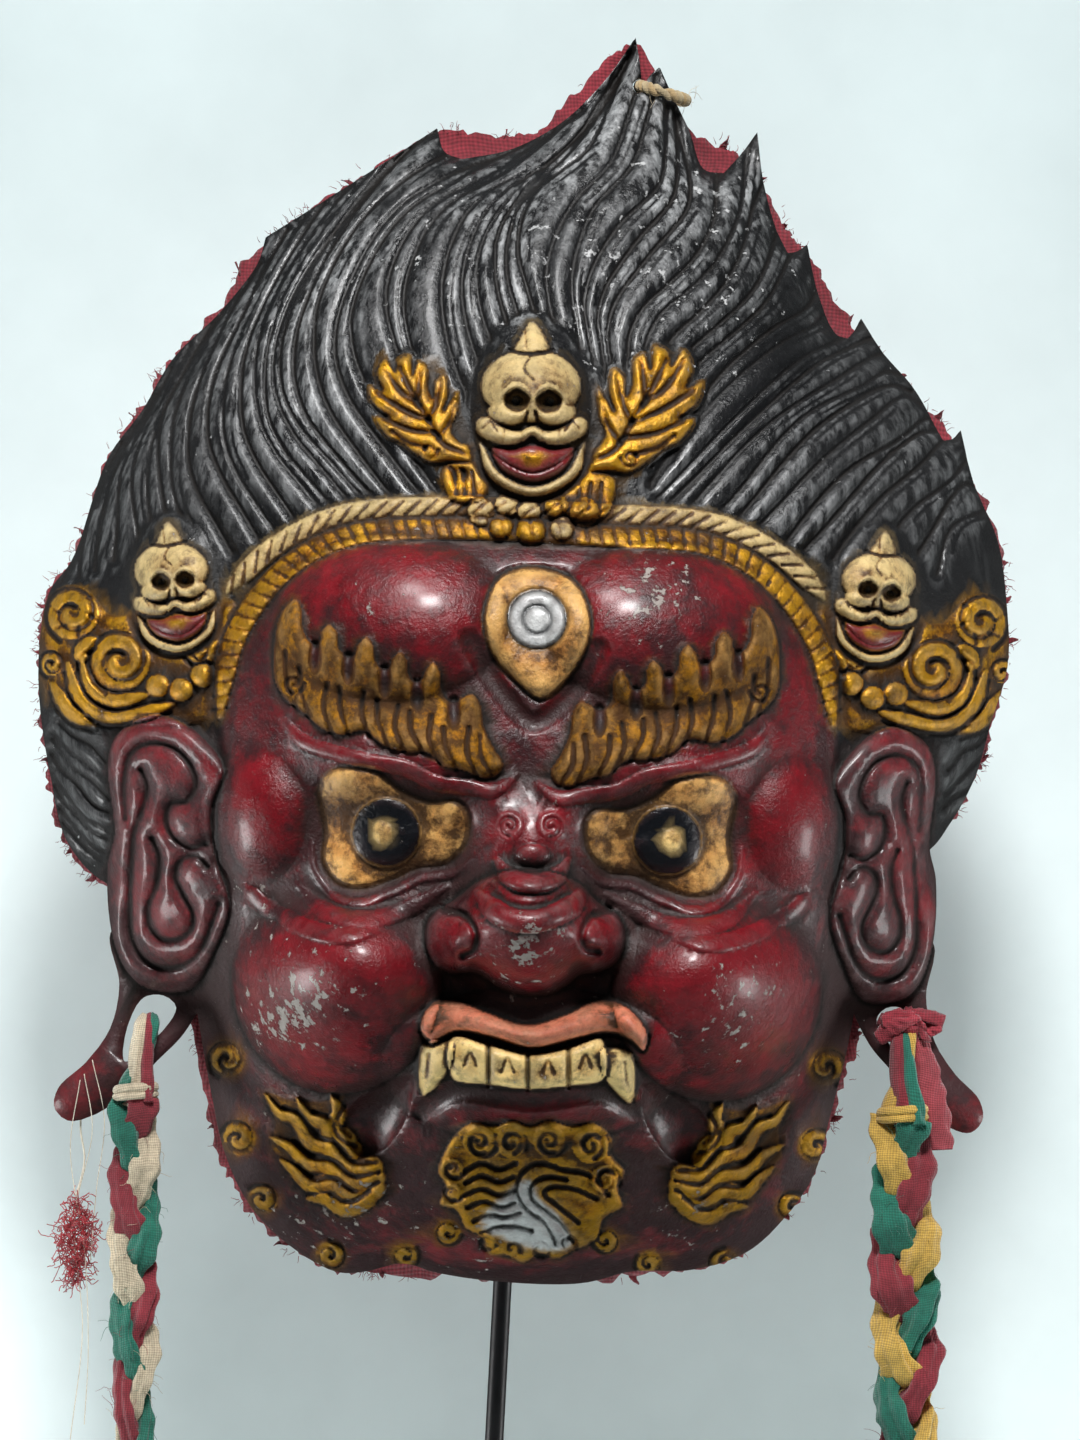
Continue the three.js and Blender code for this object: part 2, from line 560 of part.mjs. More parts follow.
// Closed shell between two depth fields over a plan
function shell(plan, front, back, step) {
  const positions = [];
  const triangles = [];
  const known = new Map();
  const boundary = new Map();
  const vertex = (i, j) => {
    const key = i < j ? `${i}_${j}` : `${j}_${i}`;
    if (!known.has(key)) {
      const t = i === j ? 0 : THREE.MathUtils.clamp(plan[i] / (plan[i] - plan[j]), 0.02, 0.98);
      const mix = (values) => values(i) + (values(j) - values(i)) * t;
      const x = mix(gridX) + MASK_X;
      const z = mix(gridH) + CHIN_HEIGHT;
      known.set(key, positions.length);
      positions.push([x, RIM_Y - mix((k) => front[k]), z], [x, RIM_Y - mix((k) => back[k]), z]);
    }
    return known.get(key);
  };
  const emit = (a, b, c) => {
    triangles.push([a, b, c], [a + 1, c + 1, b + 1]);
    for (const [p, q] of [[a, b], [b, c], [c, a]])
      if (!boundary.delete(`${q}_${p}`)) boundary.set(`${p}_${q}`, [p, q]);
  };
  const clip = (corners) => {
    const kept = [];
    corners.forEach((i, k) => {
      const j = corners[(k + 1) % 3];
      if (plan[i] > 0) kept.push(vertex(i, i));
      if (plan[i] > 0 !== plan[j] > 0) kept.push(plan[i] > 0 ? vertex(i, j) : vertex(j, i));
    });
    for (let k = 1; k + 1 < kept.length; k++) emit(kept[0], kept[k], kept[k + 1]);
  };
  for (let r = 0; r + step < GRID.rows; r += step)
    for (let c = 0; c + step < GRID.columns; c += step) {
      const a = r * GRID.columns + c;
      const b = a + step;
      const d = a + step * GRID.columns;
      const e = d + step;
      if ((r + c) % (2 * step) === 0) [[a, b, e], [a, e, d]].forEach(clip);
      else [[a, b, d], [b, e, d]].forEach(clip);
    }
  for (const [p, q] of boundary.values()) triangles.push([q, p, p + 1], [q, p + 1, q + 1]);
  return { positions, triangles };
}

// Quadric edge collapse: keeps the form with fewer triangles
function simplify({ positions, triangles }, target, backWeight = 1) {
  const corner = positions.map((p) => new THREE.Vector3(...p));
  const faces = triangles.map((t) => t.slice());
  const around = corner.map(() => new Set());
  const quadric = corner.map(() => new Float64Array(10));
  const version = new Uint32Array(corner.length);
  const edge1 = new THREE.Vector3();
  const edge2 = new THREE.Vector3();
  const normalOf = (a, b, c) =>
    new THREE.Vector3().crossVectors(edge1.subVectors(b, a), edge2.subVectors(c, a));
  faces.forEach((face, f) => {
    const n = normalOf(...face.map((i) => corner[i]));
    const area = n.length();
    if (area > 0) n.divideScalar(area);
    const w = -n.dot(corner[face[0]]);
    const weight = n.y > 0.2 ? backWeight : 1;
    const plane = [n.x, n.y, n.z, w];
    const terms = plane.flatMap((value, k) => plane.slice(k).map((other) => value * other));
    for (const i of face) {
      around[i].add(f);
      terms.forEach((term, k) => (quadric[i][k] += term * area * weight));
    }
  });
  const cost = (a, b, p) => {
    const q = (k) => quadric[a][k] + quadric[b][k];
    const { x, y, z } = p;
    return (
      q(0) * x * x + 2 * q(1) * x * y + 2 * q(2) * x * z + 2 * q(3) * x + q(4) * y * y +
      2 * q(5) * y * z + 2 * q(6) * y + q(7) * z * z + 2 * q(8) * z + q(9)
    );
  };
  const best = (a, b) => {
    const middle = corner[a].clone().lerp(corner[b], 0.5);
    const options = [corner[a], corner[b], middle];
    const costs = options.map((p) => cost(a, b, p));
    const k = costs.indexOf(Math.min(...costs));
    return { point: options[k].clone(), error: costs[k] + 1e-4 * corner[a].distanceToSquared(corner[b]) };
  };
  const heap = [];
  const push = (item) => {
    let i = heap.push(item) - 1;
    while (i > 0 && heap[(i - 1) >> 1].error > item.error) {
      heap[i] = heap[(i - 1) >> 1];
      i = (i - 1) >> 1;
    }
    heap[i] = item;
  };
  const pop = () => {
    const first = heap[0];
    const item = heap.pop();
    if (!heap.length) return first;
    let i = 0;
    for (;;) {
      let child = 2 * i + 1;
      if (child + 1 < heap.length && heap[child + 1].error < heap[child].error) child++;
      if (child >= heap.length || heap[child].error >= item.error) break;
      heap[i] = heap[child];
      i = child;
    }
    heap[i] = item;
    return first;
  };
  const queue = (a, b) => push({ a, b, stamp: version[a] + version[b], ...best(a, b) });
  const ring = (i) => new Set([...around[i]].flatMap((f) => faces[f]).filter((k) => k !== i));
  corner.forEach((_, i) => ring(i).forEach((j) => i < j && queue(i, j)));
  const keepsForm = (i, other, point) =>
    [...around[i]].every((f) => {
      if (faces[f].includes(other)) return true;
      const before = normalOf(...faces[f].map((k) => corner[k]));
      const moved = faces[f].map((k) => (k === i ? point : corner[k]));
      const after = normalOf(...moved);
      const longest = Math.max(...moved.map((p, k) => p.distanceToSquared(moved[(k + 1) % 3])));
      return before.dot(after) > 0.4 * before.length() * after.length() && after.length() > 0.04 * longest;
    });
  let left = faces.length;
  while (left > target && heap.length) {
    const { a, b, stamp, point } = pop();
    if (!around[a].size || !around[b].size || stamp !== version[a] + version[b]) continue;
    const ringB = ring(b);
    const shared = [...ring(a)].filter((k) => ringB.has(k));
    if (!ringB.has(a) || shared.length !== 2) continue;
    if (!keepsForm(a, b, point) || !keepsForm(b, a, point)) continue;
    for (const f of around[b]) {
      if (faces[f].includes(a)) {
        faces[f].forEach((k) => k !== b && around[k].delete(f));
        faces[f] = null;
        left--;
      } else {
        faces[f] = faces[f].map((k) => (k === b ? a : k));
        around[a].add(f);
      }
    }
    around[b].clear();
    corner[a].copy(point);
    quadric[a].forEach((_, k) => (quadric[a][k] += quadric[b][k]));
    version[a]++;
    version[b]++;
    ring(a).forEach((k) => queue(a, k));
  }
  const used = new Map();
  const kept = [];
  const index = faces.filter(Boolean).flatMap((face) =>
    face.map((i) => {
      if (!used.has(i)) {
        used.set(i, used.size);
        kept.push(...corner[i].toArray());
      }
      return used.get(i);
    }),
  );
  return new THREE.BufferGeometry()
    .setAttribute("position", new THREE.BufferAttribute(new Float32Array(kept), 3))
    .setIndex(index);
}

// Joins of plain solids
const wasm = await Module();
wasm.setup();

function solidOf(geometry) {
  const positions = geometry.getAttribute("position");
  const seen = new Map();
  const vertProperties = [];
  const triVerts = [];
  const count = geometry.index ? geometry.index.count : positions.count;
  for (let k = 0; k < count; k++) {
    const i = geometry.index ? geometry.index.getX(k) : k;
    const point = [positions.getX(i), positions.getY(i), positions.getZ(i)];
    const key = point.map((value) => Math.round(value * 1e4)).join();
    if (!seen.has(key)) {
      seen.set(key, seen.size);
      vertProperties.push(...point);
    }
    triVerts.push(seen.get(key));
  }
  const whole = [];
  for (let k = 0; k < triVerts.length; k += 3) {
    const [a, b, c] = triVerts.slice(k, k + 3);
    if (a !== b && b !== c && c !== a) whole.push(a, b, c);
  }
  const mesh = new wasm.Mesh({
    numProp: 3,
    vertProperties: new Float32Array(vertProperties),
    triVerts: new Uint32Array(whole),
  });
  return new wasm.Manifold(mesh);
}

function geometryOf(solid) {
  const { vertProperties, triVerts } = solid.getMesh();
  return new THREE.BufferGeometry()
    .setAttribute("position", new THREE.BufferAttribute(vertProperties, 3))
    .setIndex(new THREE.BufferAttribute(triVerts, 1));
}

function disc(radius, sides) {
  const shape = new THREE.Shape();
  for (let k = 0; k < sides; k++) {
    const angle = (2 * Math.PI * k) / sides;
    shape[k ? "lineTo" : "moveTo"](radius * Math.cos(angle), radius * Math.sin(angle));
  }
  return shape;
}

function bar(points, radius, steps, sides = 10, closed = false) {
  const places = points.map((p) => new THREE.Vector3(...p));
  const path = new THREE.CatmullRomCurve3(places, closed, "centripetal");
  return new THREE.ExtrudeGeometry(disc(radius, sides), { steps, bevelEnabled: false, extrudePath: path });
}

function turned(profile, sides) {
  const lathe = new THREE.LatheGeometry(profile.map(([r, z]) => new THREE.Vector2(r, z)), sides);
  return lathe.rotateX(Math.PI / 2);
}

// Depth of a field at a point of the mask
function sample(field, x, h) {
  const c = Math.round((x - GRID.left) / GRID.step);
  const r = Math.round((h - GRID.bottom) / GRID.step);
  return field[r * GRID.columns + c];
}

const depth = buildDepth();
const inner = offsetInward(depth, WALL + SMOOTHING);
const liningFront = offsetInward(depth, WALL + SMOOTHING + LINING.gap);
const liningBack = offsetInward(depth, WALL + SMOOTHING + LINING.gap + LINING.thick);
const liningCut = insideness(curve(LINING_RUN, true));
const liningPlan = liningCut.map((d, i) => Math.min(d, stringHole[i] - LINING.slack));
const material = (colour) => new THREE.MeshStandardMaterial({ color: colour, roughness: 0.6 });
const part = new THREE.Group();
part.name = "dance_mask";
const addPiece = (name, geometry, colour) => {
  const mesh = new THREE.Mesh(geometry, material(colour));
  mesh.name = name;
  part.add(mesh);
};

// A sheet point on the mask's front, moved forward by so many millimetres
function onMask([u, v], forward = 0, base = null) {
  const [x, h] = place([u, v]);
  return [x + MASK_X, RIM_Y - (base ?? sample(depth, x, h)) - forward, h + CHIN_HEIGHT];
}

function standRod() {
  const rodX = (z) => (z - BASE.high) * ROD_LEAN;
  const top = CHIN_HEIGHT + CROSSBAR.height;
  const across = [-1, -0.5, 0, 0.5, 1].map((t) => rodX(top) + t * CROSSBAR.half);
  const reachY = Math.max(
    ...across.map((x) => RIM_Y - sample(liningBack, x - MASK_X, CROSSBAR.height)),
    ...across.map((x) => RIM_Y - sample(liningBack, x - MASK_X, CROSSBAR.height + ROD_RADIUS)),
  );
  const barY = reachY + ROD_RADIUS + CROSSBAR.gap;
  const upright = bar(
    [
      [0, ROD_Y, BASE.high + 0.3], [rodX(120), ROD_Y, 120], [rodX(top - 60), ROD_Y, top - 60],
      [rodX(top), ROD_Y - 12, top - 18], [rodX(top), barY + 20, top], [rodX(top), barY, top],
    ],
    ROD_RADIUS, 14, 10,
  );
  const crossbar = bar(
    [[across[0], barY + 0.01, top + 0.02], [across[4], barY + 0.01, top + 0.02]], ROD_RADIUS, 1, 10,
  );
  const collar = turned([[0, 0], [9, 0], [9, 4], [6, 8], [0, 8]], 20);
  collar.translate(0, ROD_Y, BASE.high + 0.3);
  return geometryOf(solidOf(upright).add(solidOf(crossbar)).add(solidOf(collar)));
}

function standBase() {
  const flat = new THREE.Shape();
  const x = BASE.wide / 2 - BASE.bevel;
  const y = BASE.deep / 2 - BASE.bevel;
  flat.moveTo(-x, -y);
  flat.lineTo(x, -y);
  flat.lineTo(x, y);
  flat.lineTo(-x, y);
  const plate = new THREE.ExtrudeGeometry(flat, {
    depth: BASE.high - 2 * BASE.bevel,
    bevelThickness: BASE.bevel,
    bevelSize: BASE.bevel,
    bevelSegments: 1,
  });
  return plate.translate(0, 0, BASE.bevel);
}

// String tied round the small lock beside the top tip
function hangingString() {
  const near = onMask(STRING.at, 0, 0);
  const far = onMask(STRING.far, 0, 0);
  const middle = (STRING.front + STRING.back) / 2;
  const points = [];
  for (let k = 0; k < 16; k++) {
    const angle = (2 * Math.PI * k) / 16;
    const side = Math.sign(Math.cos(angle)) * Math.abs(Math.cos(angle)) ** 0.6;
    const lift = Math.sign(Math.sin(angle)) * Math.abs(Math.sin(angle)) ** 0.6;
    const share = (1 - side) / 2;
    points.push([
      THREE.MathUtils.lerp(far[0], near[0], share),
      RIM_Y - middle - lift * (STRING.front - middle),
      THREE.MathUtils.lerp(far[2], near[2], share),
    ]);
  }
  return bar(points, STRING.radius, 18, 6, true);
}

// Rounded lump of tied cloth, drawn as a solid of revolution about the upright
function lump([x, y, z], radius, up, down) {
  const profile = [[0, -down], [radius * 0.6, -down * 0.85], [radius, -down * 0.35], [radius, up * 0.35]];
  return turned([...profile, [radius * 0.6, up * 0.85], [0, up]], 12).translate(x, y, z);
}

// Cloth through the slit of a lobe, knotted before and behind it
function tie(front, slit, radius) {
  const before = onMask(front, radius + 1, LOBE_DEPTH);
  const behind = onMask(slit, -WALL - SMOOTHING - 6.6, LOBE_DEPTH);
  const through = onMask(slit, 0, LOBE_DEPTH);
  const bend = [through[0], through[1] - 5, through[2] + 1];
  const neck = bar([before, bend, through, behind], BRAID.neck, 10, 8);
  const joined = solidOf(lump(before, radius, radius, radius)).add(solidOf(neck));
  return geometryOf(joined.add(solidOf(lump(behind, 5.6, 5.6, 5.6))));
}

// Braid below its tie, and the knot with loose ends that closes it
function addBraid(side, front, slit, radius, drift) {
  const top = onMask(front, radius + 1, LOBE_DEPTH);
  const start = top[2] - radius - 0.4;
  const middle = (start + BRAID.bottom) / 2;
  const route = [
    [top[0], top[1], start],
    [top[0] + drift, top[1], middle],
    [top[0] + drift / 2, top[1], BRAID.bottom],
  ];
  addPiece(`${side}_tie`, tie(front, slit, radius), COLOURS.cloth);
  addPiece(`${side}_braid`, bar(route, radius, 8, 12), COLOURS.braid);
  const end = [top[0] + drift / 2, top[1], BRAID.bottom - radius - 0.6];
  addPiece(`${side}_knot`, lump(end, radius * 1.05, radius, BRAID.knotLength), COLOURS.braid);
}

function addTuft() {
  const top = onMask([80, 1127], -WALL / 2, LOBE_DEPTH);
  const bottom = onMask([76, 1196], -WALL / 2, LOBE_DEPTH);
  const bend = [(top[0] + bottom[0]) / 2 + 1.5, top[1], (top[2] + bottom[2]) / 2];
  addPiece("tuft_thread", bar([top, bend, bottom], TUFT.thread, 6, 8), COLOURS.cream);
  const centre = [bottom[0], bottom[1], bottom[2] - TUFT.long / 2 - 0.4];
  addPiece("wool_tuft", lump(centre, TUFT.radius, TUFT.long / 2, TUFT.long / 2), COLOURS.cloth);
}

addPiece(
  "mask",
  simplify(shell(maskPlan, depth, inner, 1), MASK_TRIANGLES, MASK_BACK_WEIGHT),
  COLOURS.lacquer,
);
addPiece(
  "cloth_lining",
  simplify(shell(liningPlan, liningFront, liningBack, 2), LINING_TRIANGLES),
  COLOURS.cloth,
);
addPiece("hanging_string", hangingString(), COLOURS.cream);
addBraid("left", [136, 1072], [146, 1024], 7.5, -1);
addBraid("right", [902, 1090], [903, 1036], 9, 1);
addTuft();
addPiece("stand_rod", standRod(), COLOURS.steel);
addPiece("stand_base", standBase(), COLOURS.steel);

export default part;
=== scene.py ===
"""Lacquered dance mask with cloth braids on a steel stand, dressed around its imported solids."""

import math
from contextlib import contextmanager

import bpy
import numpy as np
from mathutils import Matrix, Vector


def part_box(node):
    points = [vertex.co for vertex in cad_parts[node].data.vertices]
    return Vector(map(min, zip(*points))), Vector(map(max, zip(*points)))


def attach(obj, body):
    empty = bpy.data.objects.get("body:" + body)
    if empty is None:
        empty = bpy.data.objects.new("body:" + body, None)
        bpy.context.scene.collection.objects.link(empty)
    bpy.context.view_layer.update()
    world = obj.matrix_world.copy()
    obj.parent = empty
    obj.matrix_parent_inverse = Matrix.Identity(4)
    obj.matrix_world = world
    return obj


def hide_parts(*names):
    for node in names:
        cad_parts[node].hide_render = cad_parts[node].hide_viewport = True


bl_info = {
    "name": "Dance Mask on a Stand",
    "version": (1, 0, 0),
    "blender": (4, 5, 0),
    "location": "View3D > Sidebar > Dance Mask",
    "description": "Builds a worn lacquer dance mask, its cloth braids and its stand",
    "category": "Object",
}

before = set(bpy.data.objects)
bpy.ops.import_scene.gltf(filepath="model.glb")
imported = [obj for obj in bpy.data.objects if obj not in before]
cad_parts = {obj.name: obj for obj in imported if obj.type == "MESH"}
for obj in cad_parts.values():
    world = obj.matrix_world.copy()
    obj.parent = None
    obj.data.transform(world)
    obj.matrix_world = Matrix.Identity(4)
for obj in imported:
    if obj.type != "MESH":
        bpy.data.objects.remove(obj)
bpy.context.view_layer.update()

# Sizes in millimetres, shared with the solids
MM = 0.001
MASK_HEIGHT = 400
CHIN_HEIGHT = 230
RIM_Y = 62
WALL = 5
THINNEST = 3
RIM_DEPTH = 12
HEAD_DEPTH = 84
FACE_DEPTH = 16
LOBE_DEPTH = 27
LOBE_APRON = 14
BASE_WIDE = 200
BASE_DEEP = 160
BASE_HIGH = 8
BASE_BEVEL = 1.5
BASE_CORNER = 5.0
BASE_GAP = 0.3
COLLAR = [(9, 0), (9, 3.4), (8.6, 4.0), (6.2, 7.6), (5.6, 8), (3.2, 8)]
ROD_RADIUS = 3
ROD_Y = RIM_Y + 4
ROD_LEAN = 0.055
CROSSBAR_HALF = 36
CROSSBAR_HEIGHT = 196
BRAID_BOTTOM = 52
KNOT_LENGTH = 24
TUFT_LENGTH = 28
THREAD_WIDE = 0.64

# How many loose bits of cloth there are
RIM_TUFTS = 54
BRAID_FRAYS = 150
STRING_FRAYS = 26
WOOL_FIBRES = 420

# The front view is drawn on a sheet of 1080 by 1440 units
SHEET_MIDDLE = 533
SHEET_CHIN = 1283
SHEET_TOP = 35
SHEET_MIRROR = 1054
SHEET_DROP = 8
SHEET_TALL = 1440
SHEET_CENTRE = (540, 720)
UNIT = MASK_HEIGHT / (SHEET_CHIN - SHEET_TOP)
ROD_CHIN_U = 503
MASK_X = (SHEET_MIDDLE - ROD_CHIN_U) * UNIT + (CHIN_HEIGHT - BASE_HIGH) * ROD_LEAN

# Working grids, in millimetres
GRID_LEFT = -162
GRID_BOTTOM = -6
GRID_WIDE = 324
GRID_TALL = 411
FINE_STEP = 0.5
COARSE_STEP = 1.5
STRIDE = int(round(COARSE_STEP / FINE_STEP))

# Triangles kept in the mask, and how its domes are blown up
MASK_TRIANGLES = 190000
SKIN_ROUNDS = 420
SKIN_PULL = 1.9

# Where soot has dulled the red and painted shade darkens it: out by the ears and low on the chin
SOOT_SHADE_MIDDLE = -2
SOOT_SHADE_OUT = 84
SOOT_SHADE_LOW = 60
SOOT_SHADE_FADE = 26

# Lining: gap to the mask and thickness in millimetres, and its flat cut in metres
LINING_GAP = 0.6
LINING_THICK = 1.2
LINING_KEPT = 0.35

# Outline of hair and jaw: each run ends in a tip or a notch
HEAD_RUNS = [
    [(636, 35), (640, 60), (643, 88)],
    [(643, 88), (650, 74), (660, 65)],
    [(660, 65), (672, 92), (690, 130), (704, 168), (724, 172)],
    [(724, 172), (742, 152), (758, 130)],
    [(758, 130), (764, 180), (776, 226), (788, 252)],
    [(788, 252), (798, 250), (808, 243)],
    [(808, 243), (818, 290), (836, 333), (848, 338)],
    [(848, 338), (855, 330), (862, 317)],
    [(862, 317), (884, 352), (915, 388), (944, 440)],
    [(944, 440), (954, 438), (962, 429)],
    [
        (962, 429), (974, 480), (999, 541), (1007, 595), (1009, 662), (993, 719), (976, 778), (951, 824),
        (930, 850), (895, 862), (866, 930), (855, 1010),
    ],
    [
        (855, 1010), (845, 1060), (830, 1120), (814, 1177), (786, 1218), (748, 1253), (692, 1271),
        (633, 1272), (582, 1284), (495, 1282), (434, 1273), (403, 1264), (364, 1273), (335, 1273),
        (284, 1243), (248, 1205), (224, 1154), (211, 1096), (196, 1006),
    ],
    [
        (196, 1006), (180, 930), (150, 890), (103, 882), (66, 842), (49, 775), (38, 698), (38, 648),
        (48, 592), (71, 559), (107, 457), (141, 410), (172, 358), (220, 310), (257, 262), (265, 236),
    ],
    [(265, 236), (310, 208), (370, 170), (437, 126)],
    [(437, 126), (444, 150), (462, 158)],
    [(462, 158), (510, 148), (560, 122), (604, 80), (636, 35)],
]
EAR = [
    (155, 714), (120, 732), (109, 760), (115, 833), (107, 870), (116, 950), (140, 985), (190, 990),
    (216, 950), (231, 905), (216, 850), (214, 808), (226, 768), (206, 738), (180, 720),
]
LOBE = [
    (112, 930), (119, 985), (110, 1028), (86, 1062), (58, 1088), (54, 1108), (68, 1121), (92, 1116),
    (126, 1094), (156, 1062), (184, 1033), (206, 990), (214, 930),
]
SLIT = [(143, 998), (164, 996), (176, 1008), (150, 1044), (124, 1062), (126, 1030)]
LINING_RUN = [
    (636, 40), (690, 128), (732, 146), (760, 178), (790, 232), (812, 258), (846, 312), (896, 372),
    (942, 422), (974, 476), (1004, 550), (1007, 600), (1009, 662), (996, 722), (976, 782), (948, 830),
    (905, 870), (868, 935), (862, 1020), (846, 1080), (832, 1130), (814, 1182), (780, 1224), (738, 1258),
    (690, 1272), (582, 1281), (495, 1280), (364, 1274), (330, 1272), (280, 1243), (242, 1205),
    (216, 1150), (202, 1090), (188, 1000), (176, 930), (150, 893), (100, 884), (62, 842), (46, 775),
    (36, 698), (36, 648), (46, 590), (70, 556), (104, 458), (138, 408), (170, 355), (217, 306),
    (246, 258), (300, 212), (368, 168), (440, 128), (500, 134), (532, 130), (575, 92), (606, 58),
]
STRING = {"at": (640, 84), "far": (686, 98), "hole": 2.4, "ply": 1.1, "back": -4, "front": 20, "turns": 11}

# Braids: where they hang, how wide they are and what cloth is plaited into them
BRAIDS = {
    "left": {
        "front": (136, 1072), "slit": (146, 1024), "radius": 7.5, "drift": -1, "pitch": 66, "spread": 3.7,
        "strip": 4.3, "strands": ("pale", "cloth", "green"), "wrap": "pale", "diameter": 15.5, "loose": 0.0,
    },
    "right": {
        "front": (902, 1090), "slit": (903, 1036), "radius": 9, "drift": 1, "pitch": 62, "spread": 4.6,
        "strip": 5.4, "strands": ("cloth", "green", "yellow"), "wrap": "yellow", "diameter": 20.0,
        "loose": 0.3,
    },
}
RAG_AT = (912, 1026)
RAG_STRIP = [((918, 1040), 3), ((926, 1070), 5), ((934, 1108), 6), ((936, 1150), 6)]
THREAD_RUN = [(86, 1078), (80, 1127), (84, 1160), (76, 1196)]
LOOSE_THREADS = [
    [(84, 1074), (92, 1130), (74, 1220), (82, 1330), (70, 1440)],
    [(80, 1080), (70, 1150), (84, 1250), (88, 1350), (84, 1425)],
    [(92, 1060), (104, 1120), (96, 1190), (90, 1262)],
]

# Face inside the diadem
FACE = [
    (533, 548), (440, 541), (352, 546), (301, 569), (265, 610), (239, 655), (228, 720), (222, 800),
    (226, 880), (224, 950), (226, 1020), (250, 1080), (320, 1130), (400, 1150), (533, 1150), (666, 1150),
    (740, 1135), (806, 1085), (830, 1020), (832, 950), (830, 880), (834, 800), (826, 720), (808, 655),
    (775, 598), (714, 559), (640, 541),
]
JAW_TOP = 890
FOREHEAD = (392, 618)
BROW_SWELL = [(520, 780), (440, 770), (360, 750), (290, 700)]
SOCKET = (398, 826)
TEMPLE = (256, 816)
CHEEK_FOOT = (344, 975)
CHEEK = (338, 976)
CHEEK_FOLDS = [
    [(300, 884), (330, 910), (372, 917), (412, 905), (448, 884)],
    [(268, 900), (300, 922), (344, 932), (384, 926)],
    [(246, 884), (262, 902), (286, 912)],
]

# Eyes
EYE = [
    (320, 792), (330, 772), (351, 766), (378, 770), (404, 789), (430, 799), (458, 799), (470, 815),
    (466, 845), (448, 862), (420, 866), (394, 878), (364, 887), (340, 882), (324, 860), (326, 830),
]
LOWER_LID = [
    (314, 838), (316, 868), (334, 892), (362, 900), (396, 889), (424, 876), (452, 872), (474, 856),
]
THIRD_EYE = [
    (520, 569), (498, 580), (484, 618), (492, 655), (515, 682), (541, 700), (568, 680), (588, 645),
    (590, 615), (574, 582), (548, 570),
]
THIRD_EYE_AT = (537, 621)
PUPIL = (388, 831)
GLINT = (384, 831)
FROWN = [(470, 640), (500, 690), (533, 722), (566, 700), (598, 650)]

# Brow: scalloped below, flames with deep notches above, and the lines cut along them
BROW = [
    (504, 764), (498, 775), (484, 778), (464, 770), (446, 766), (430, 753), (406, 751), (386, 746),
    (366, 731), (344, 735), (323, 728), (306, 713), (288, 699), (278, 683), (276, 660), (278, 632),
    (286, 610), (298, 600), (304, 610), (306, 630), (312, 642), (319, 646), (323, 640), (324, 632),
    (332, 625), (340, 634), (342, 648), (348, 656), (356, 656), (360, 646), (368, 638), (376, 646),
    (378, 660), (383, 668), (391, 668), (394, 660), (402, 653), (409, 662), (410, 674), (415, 681),
    (423, 680), (427, 671), (435, 663), (442, 674), (443, 690), (449, 700), (458, 701), (464, 697),
    (474, 694), (482, 706), (485, 726), (494, 746),
]
BROW_LINES = [
    [(298, 706), (289, 680), (288, 652)],
    [(312, 716), (304, 692), (302, 668)],
    [(334, 732), (326, 708), (330, 684)],
    [(350, 732), (343, 710), (342, 688)],
    [(372, 736), (364, 714), (366, 692)],
    [(390, 745), (380, 722), (379, 700)],
    [(406, 750), (397, 728), (400, 706)],
    [(424, 751), (413, 730), (412, 712)],
    [(442, 762), (431, 740), (433, 716)],
    [(458, 768), (447, 748), (445, 728)],
    [(478, 775), (468, 752), (470, 728)],
    [(492, 774), (482, 756), (481, 736)],
]
BROW_GAPS = [(318, 662), (351, 672), (387, 685), (419, 699), (455, 716)]
BROW_CURL = (296, 684)
BROW_FOLD = [
    (284, 716), (304, 740), (344, 754), (384, 763), (408, 768), (436, 782), (466, 786), (496, 788),
    (518, 774),
]

# Nose and the muzzle under it
BRIDGE = [(534, 776), (533, 820), (530, 880), (528, 950), (528, 1036)]
BRIDGE_CURLS = [((510, 824), 1), ((551, 824), -1)]
NOSE_BULB = (530, 946)
NOSE_BEAD = (533, 853)
MUZZLE = (532, 1062)
SADDLE_GROOVE = [(490, 884), (508, 900), (534, 904), (558, 897), (574, 882)]
NOSE = [
    (484, 876), (454, 898), (431, 914), (426, 938), (436, 962), (454, 971), (476, 970), (500, 985),
    (518, 994), (534, 996), (550, 994), (567, 982), (580, 972), (600, 969), (617, 958), (625, 936),
    (618, 914), (598, 900), (574, 878), (528, 866),
]
NOSE_WINGS = [
    ((448, 939), [(446, 908), (466, 913), (477, 930), (474, 946), (464, 952)]),
    ((606, 937), [(608, 908), (590, 914), (581, 930), (585, 944), (597, 948)]),
]
SADDLE = [(478, 890), (494, 906), (512, 916), (534, 918), (556, 911), (572, 902), (584, 888)]
UPPER_ROLL = [(497, 858), (508, 872), (524, 880), (542, 880), (558, 872), (568, 858)]

# Mouth and chin
CHIN = (533, 1196)
MOUTH_LINE = [(424, 1106), (460, 1088), (530, 1096), (600, 1090), (634, 1106)]
FANG_LINE = [(430, 1050), (428, 1070), (422, 1090)]
LIP = [
    (425, 1010), (436, 998), (458, 997), (488, 1008), (527, 1020), (566, 1010), (592, 998), (614, 998),
    (634, 1010), (647, 1033), (642, 1047), (629, 1037), (608, 1030), (575, 1036), (532, 1045),
    (488, 1033), (458, 1029), (432, 1040), (422, 1028),
]
TEETH = [
    (453, 1032), (490, 1040), (530, 1049), (568, 1043), (601, 1034), (603, 1075), (568, 1082),
    (530, 1085), (490, 1081), (453, 1074),
]
TOOTH_GAPS = [(489, 1038, 1081), (528, 1046, 1085), (568, 1042, 1083)]
TOOTH_MARKS = [(471, 1056), (508, 1062), (548, 1064), (585, 1058)]
HOLLOW = [(414, 1072), (410, 1108), (384, 1148), (360, 1154), (346, 1132), (350, 1106), (386, 1080)]
FANG = [(424, 1040), (453, 1037), (452, 1062), (440, 1080), (424, 1092), (419, 1062)]
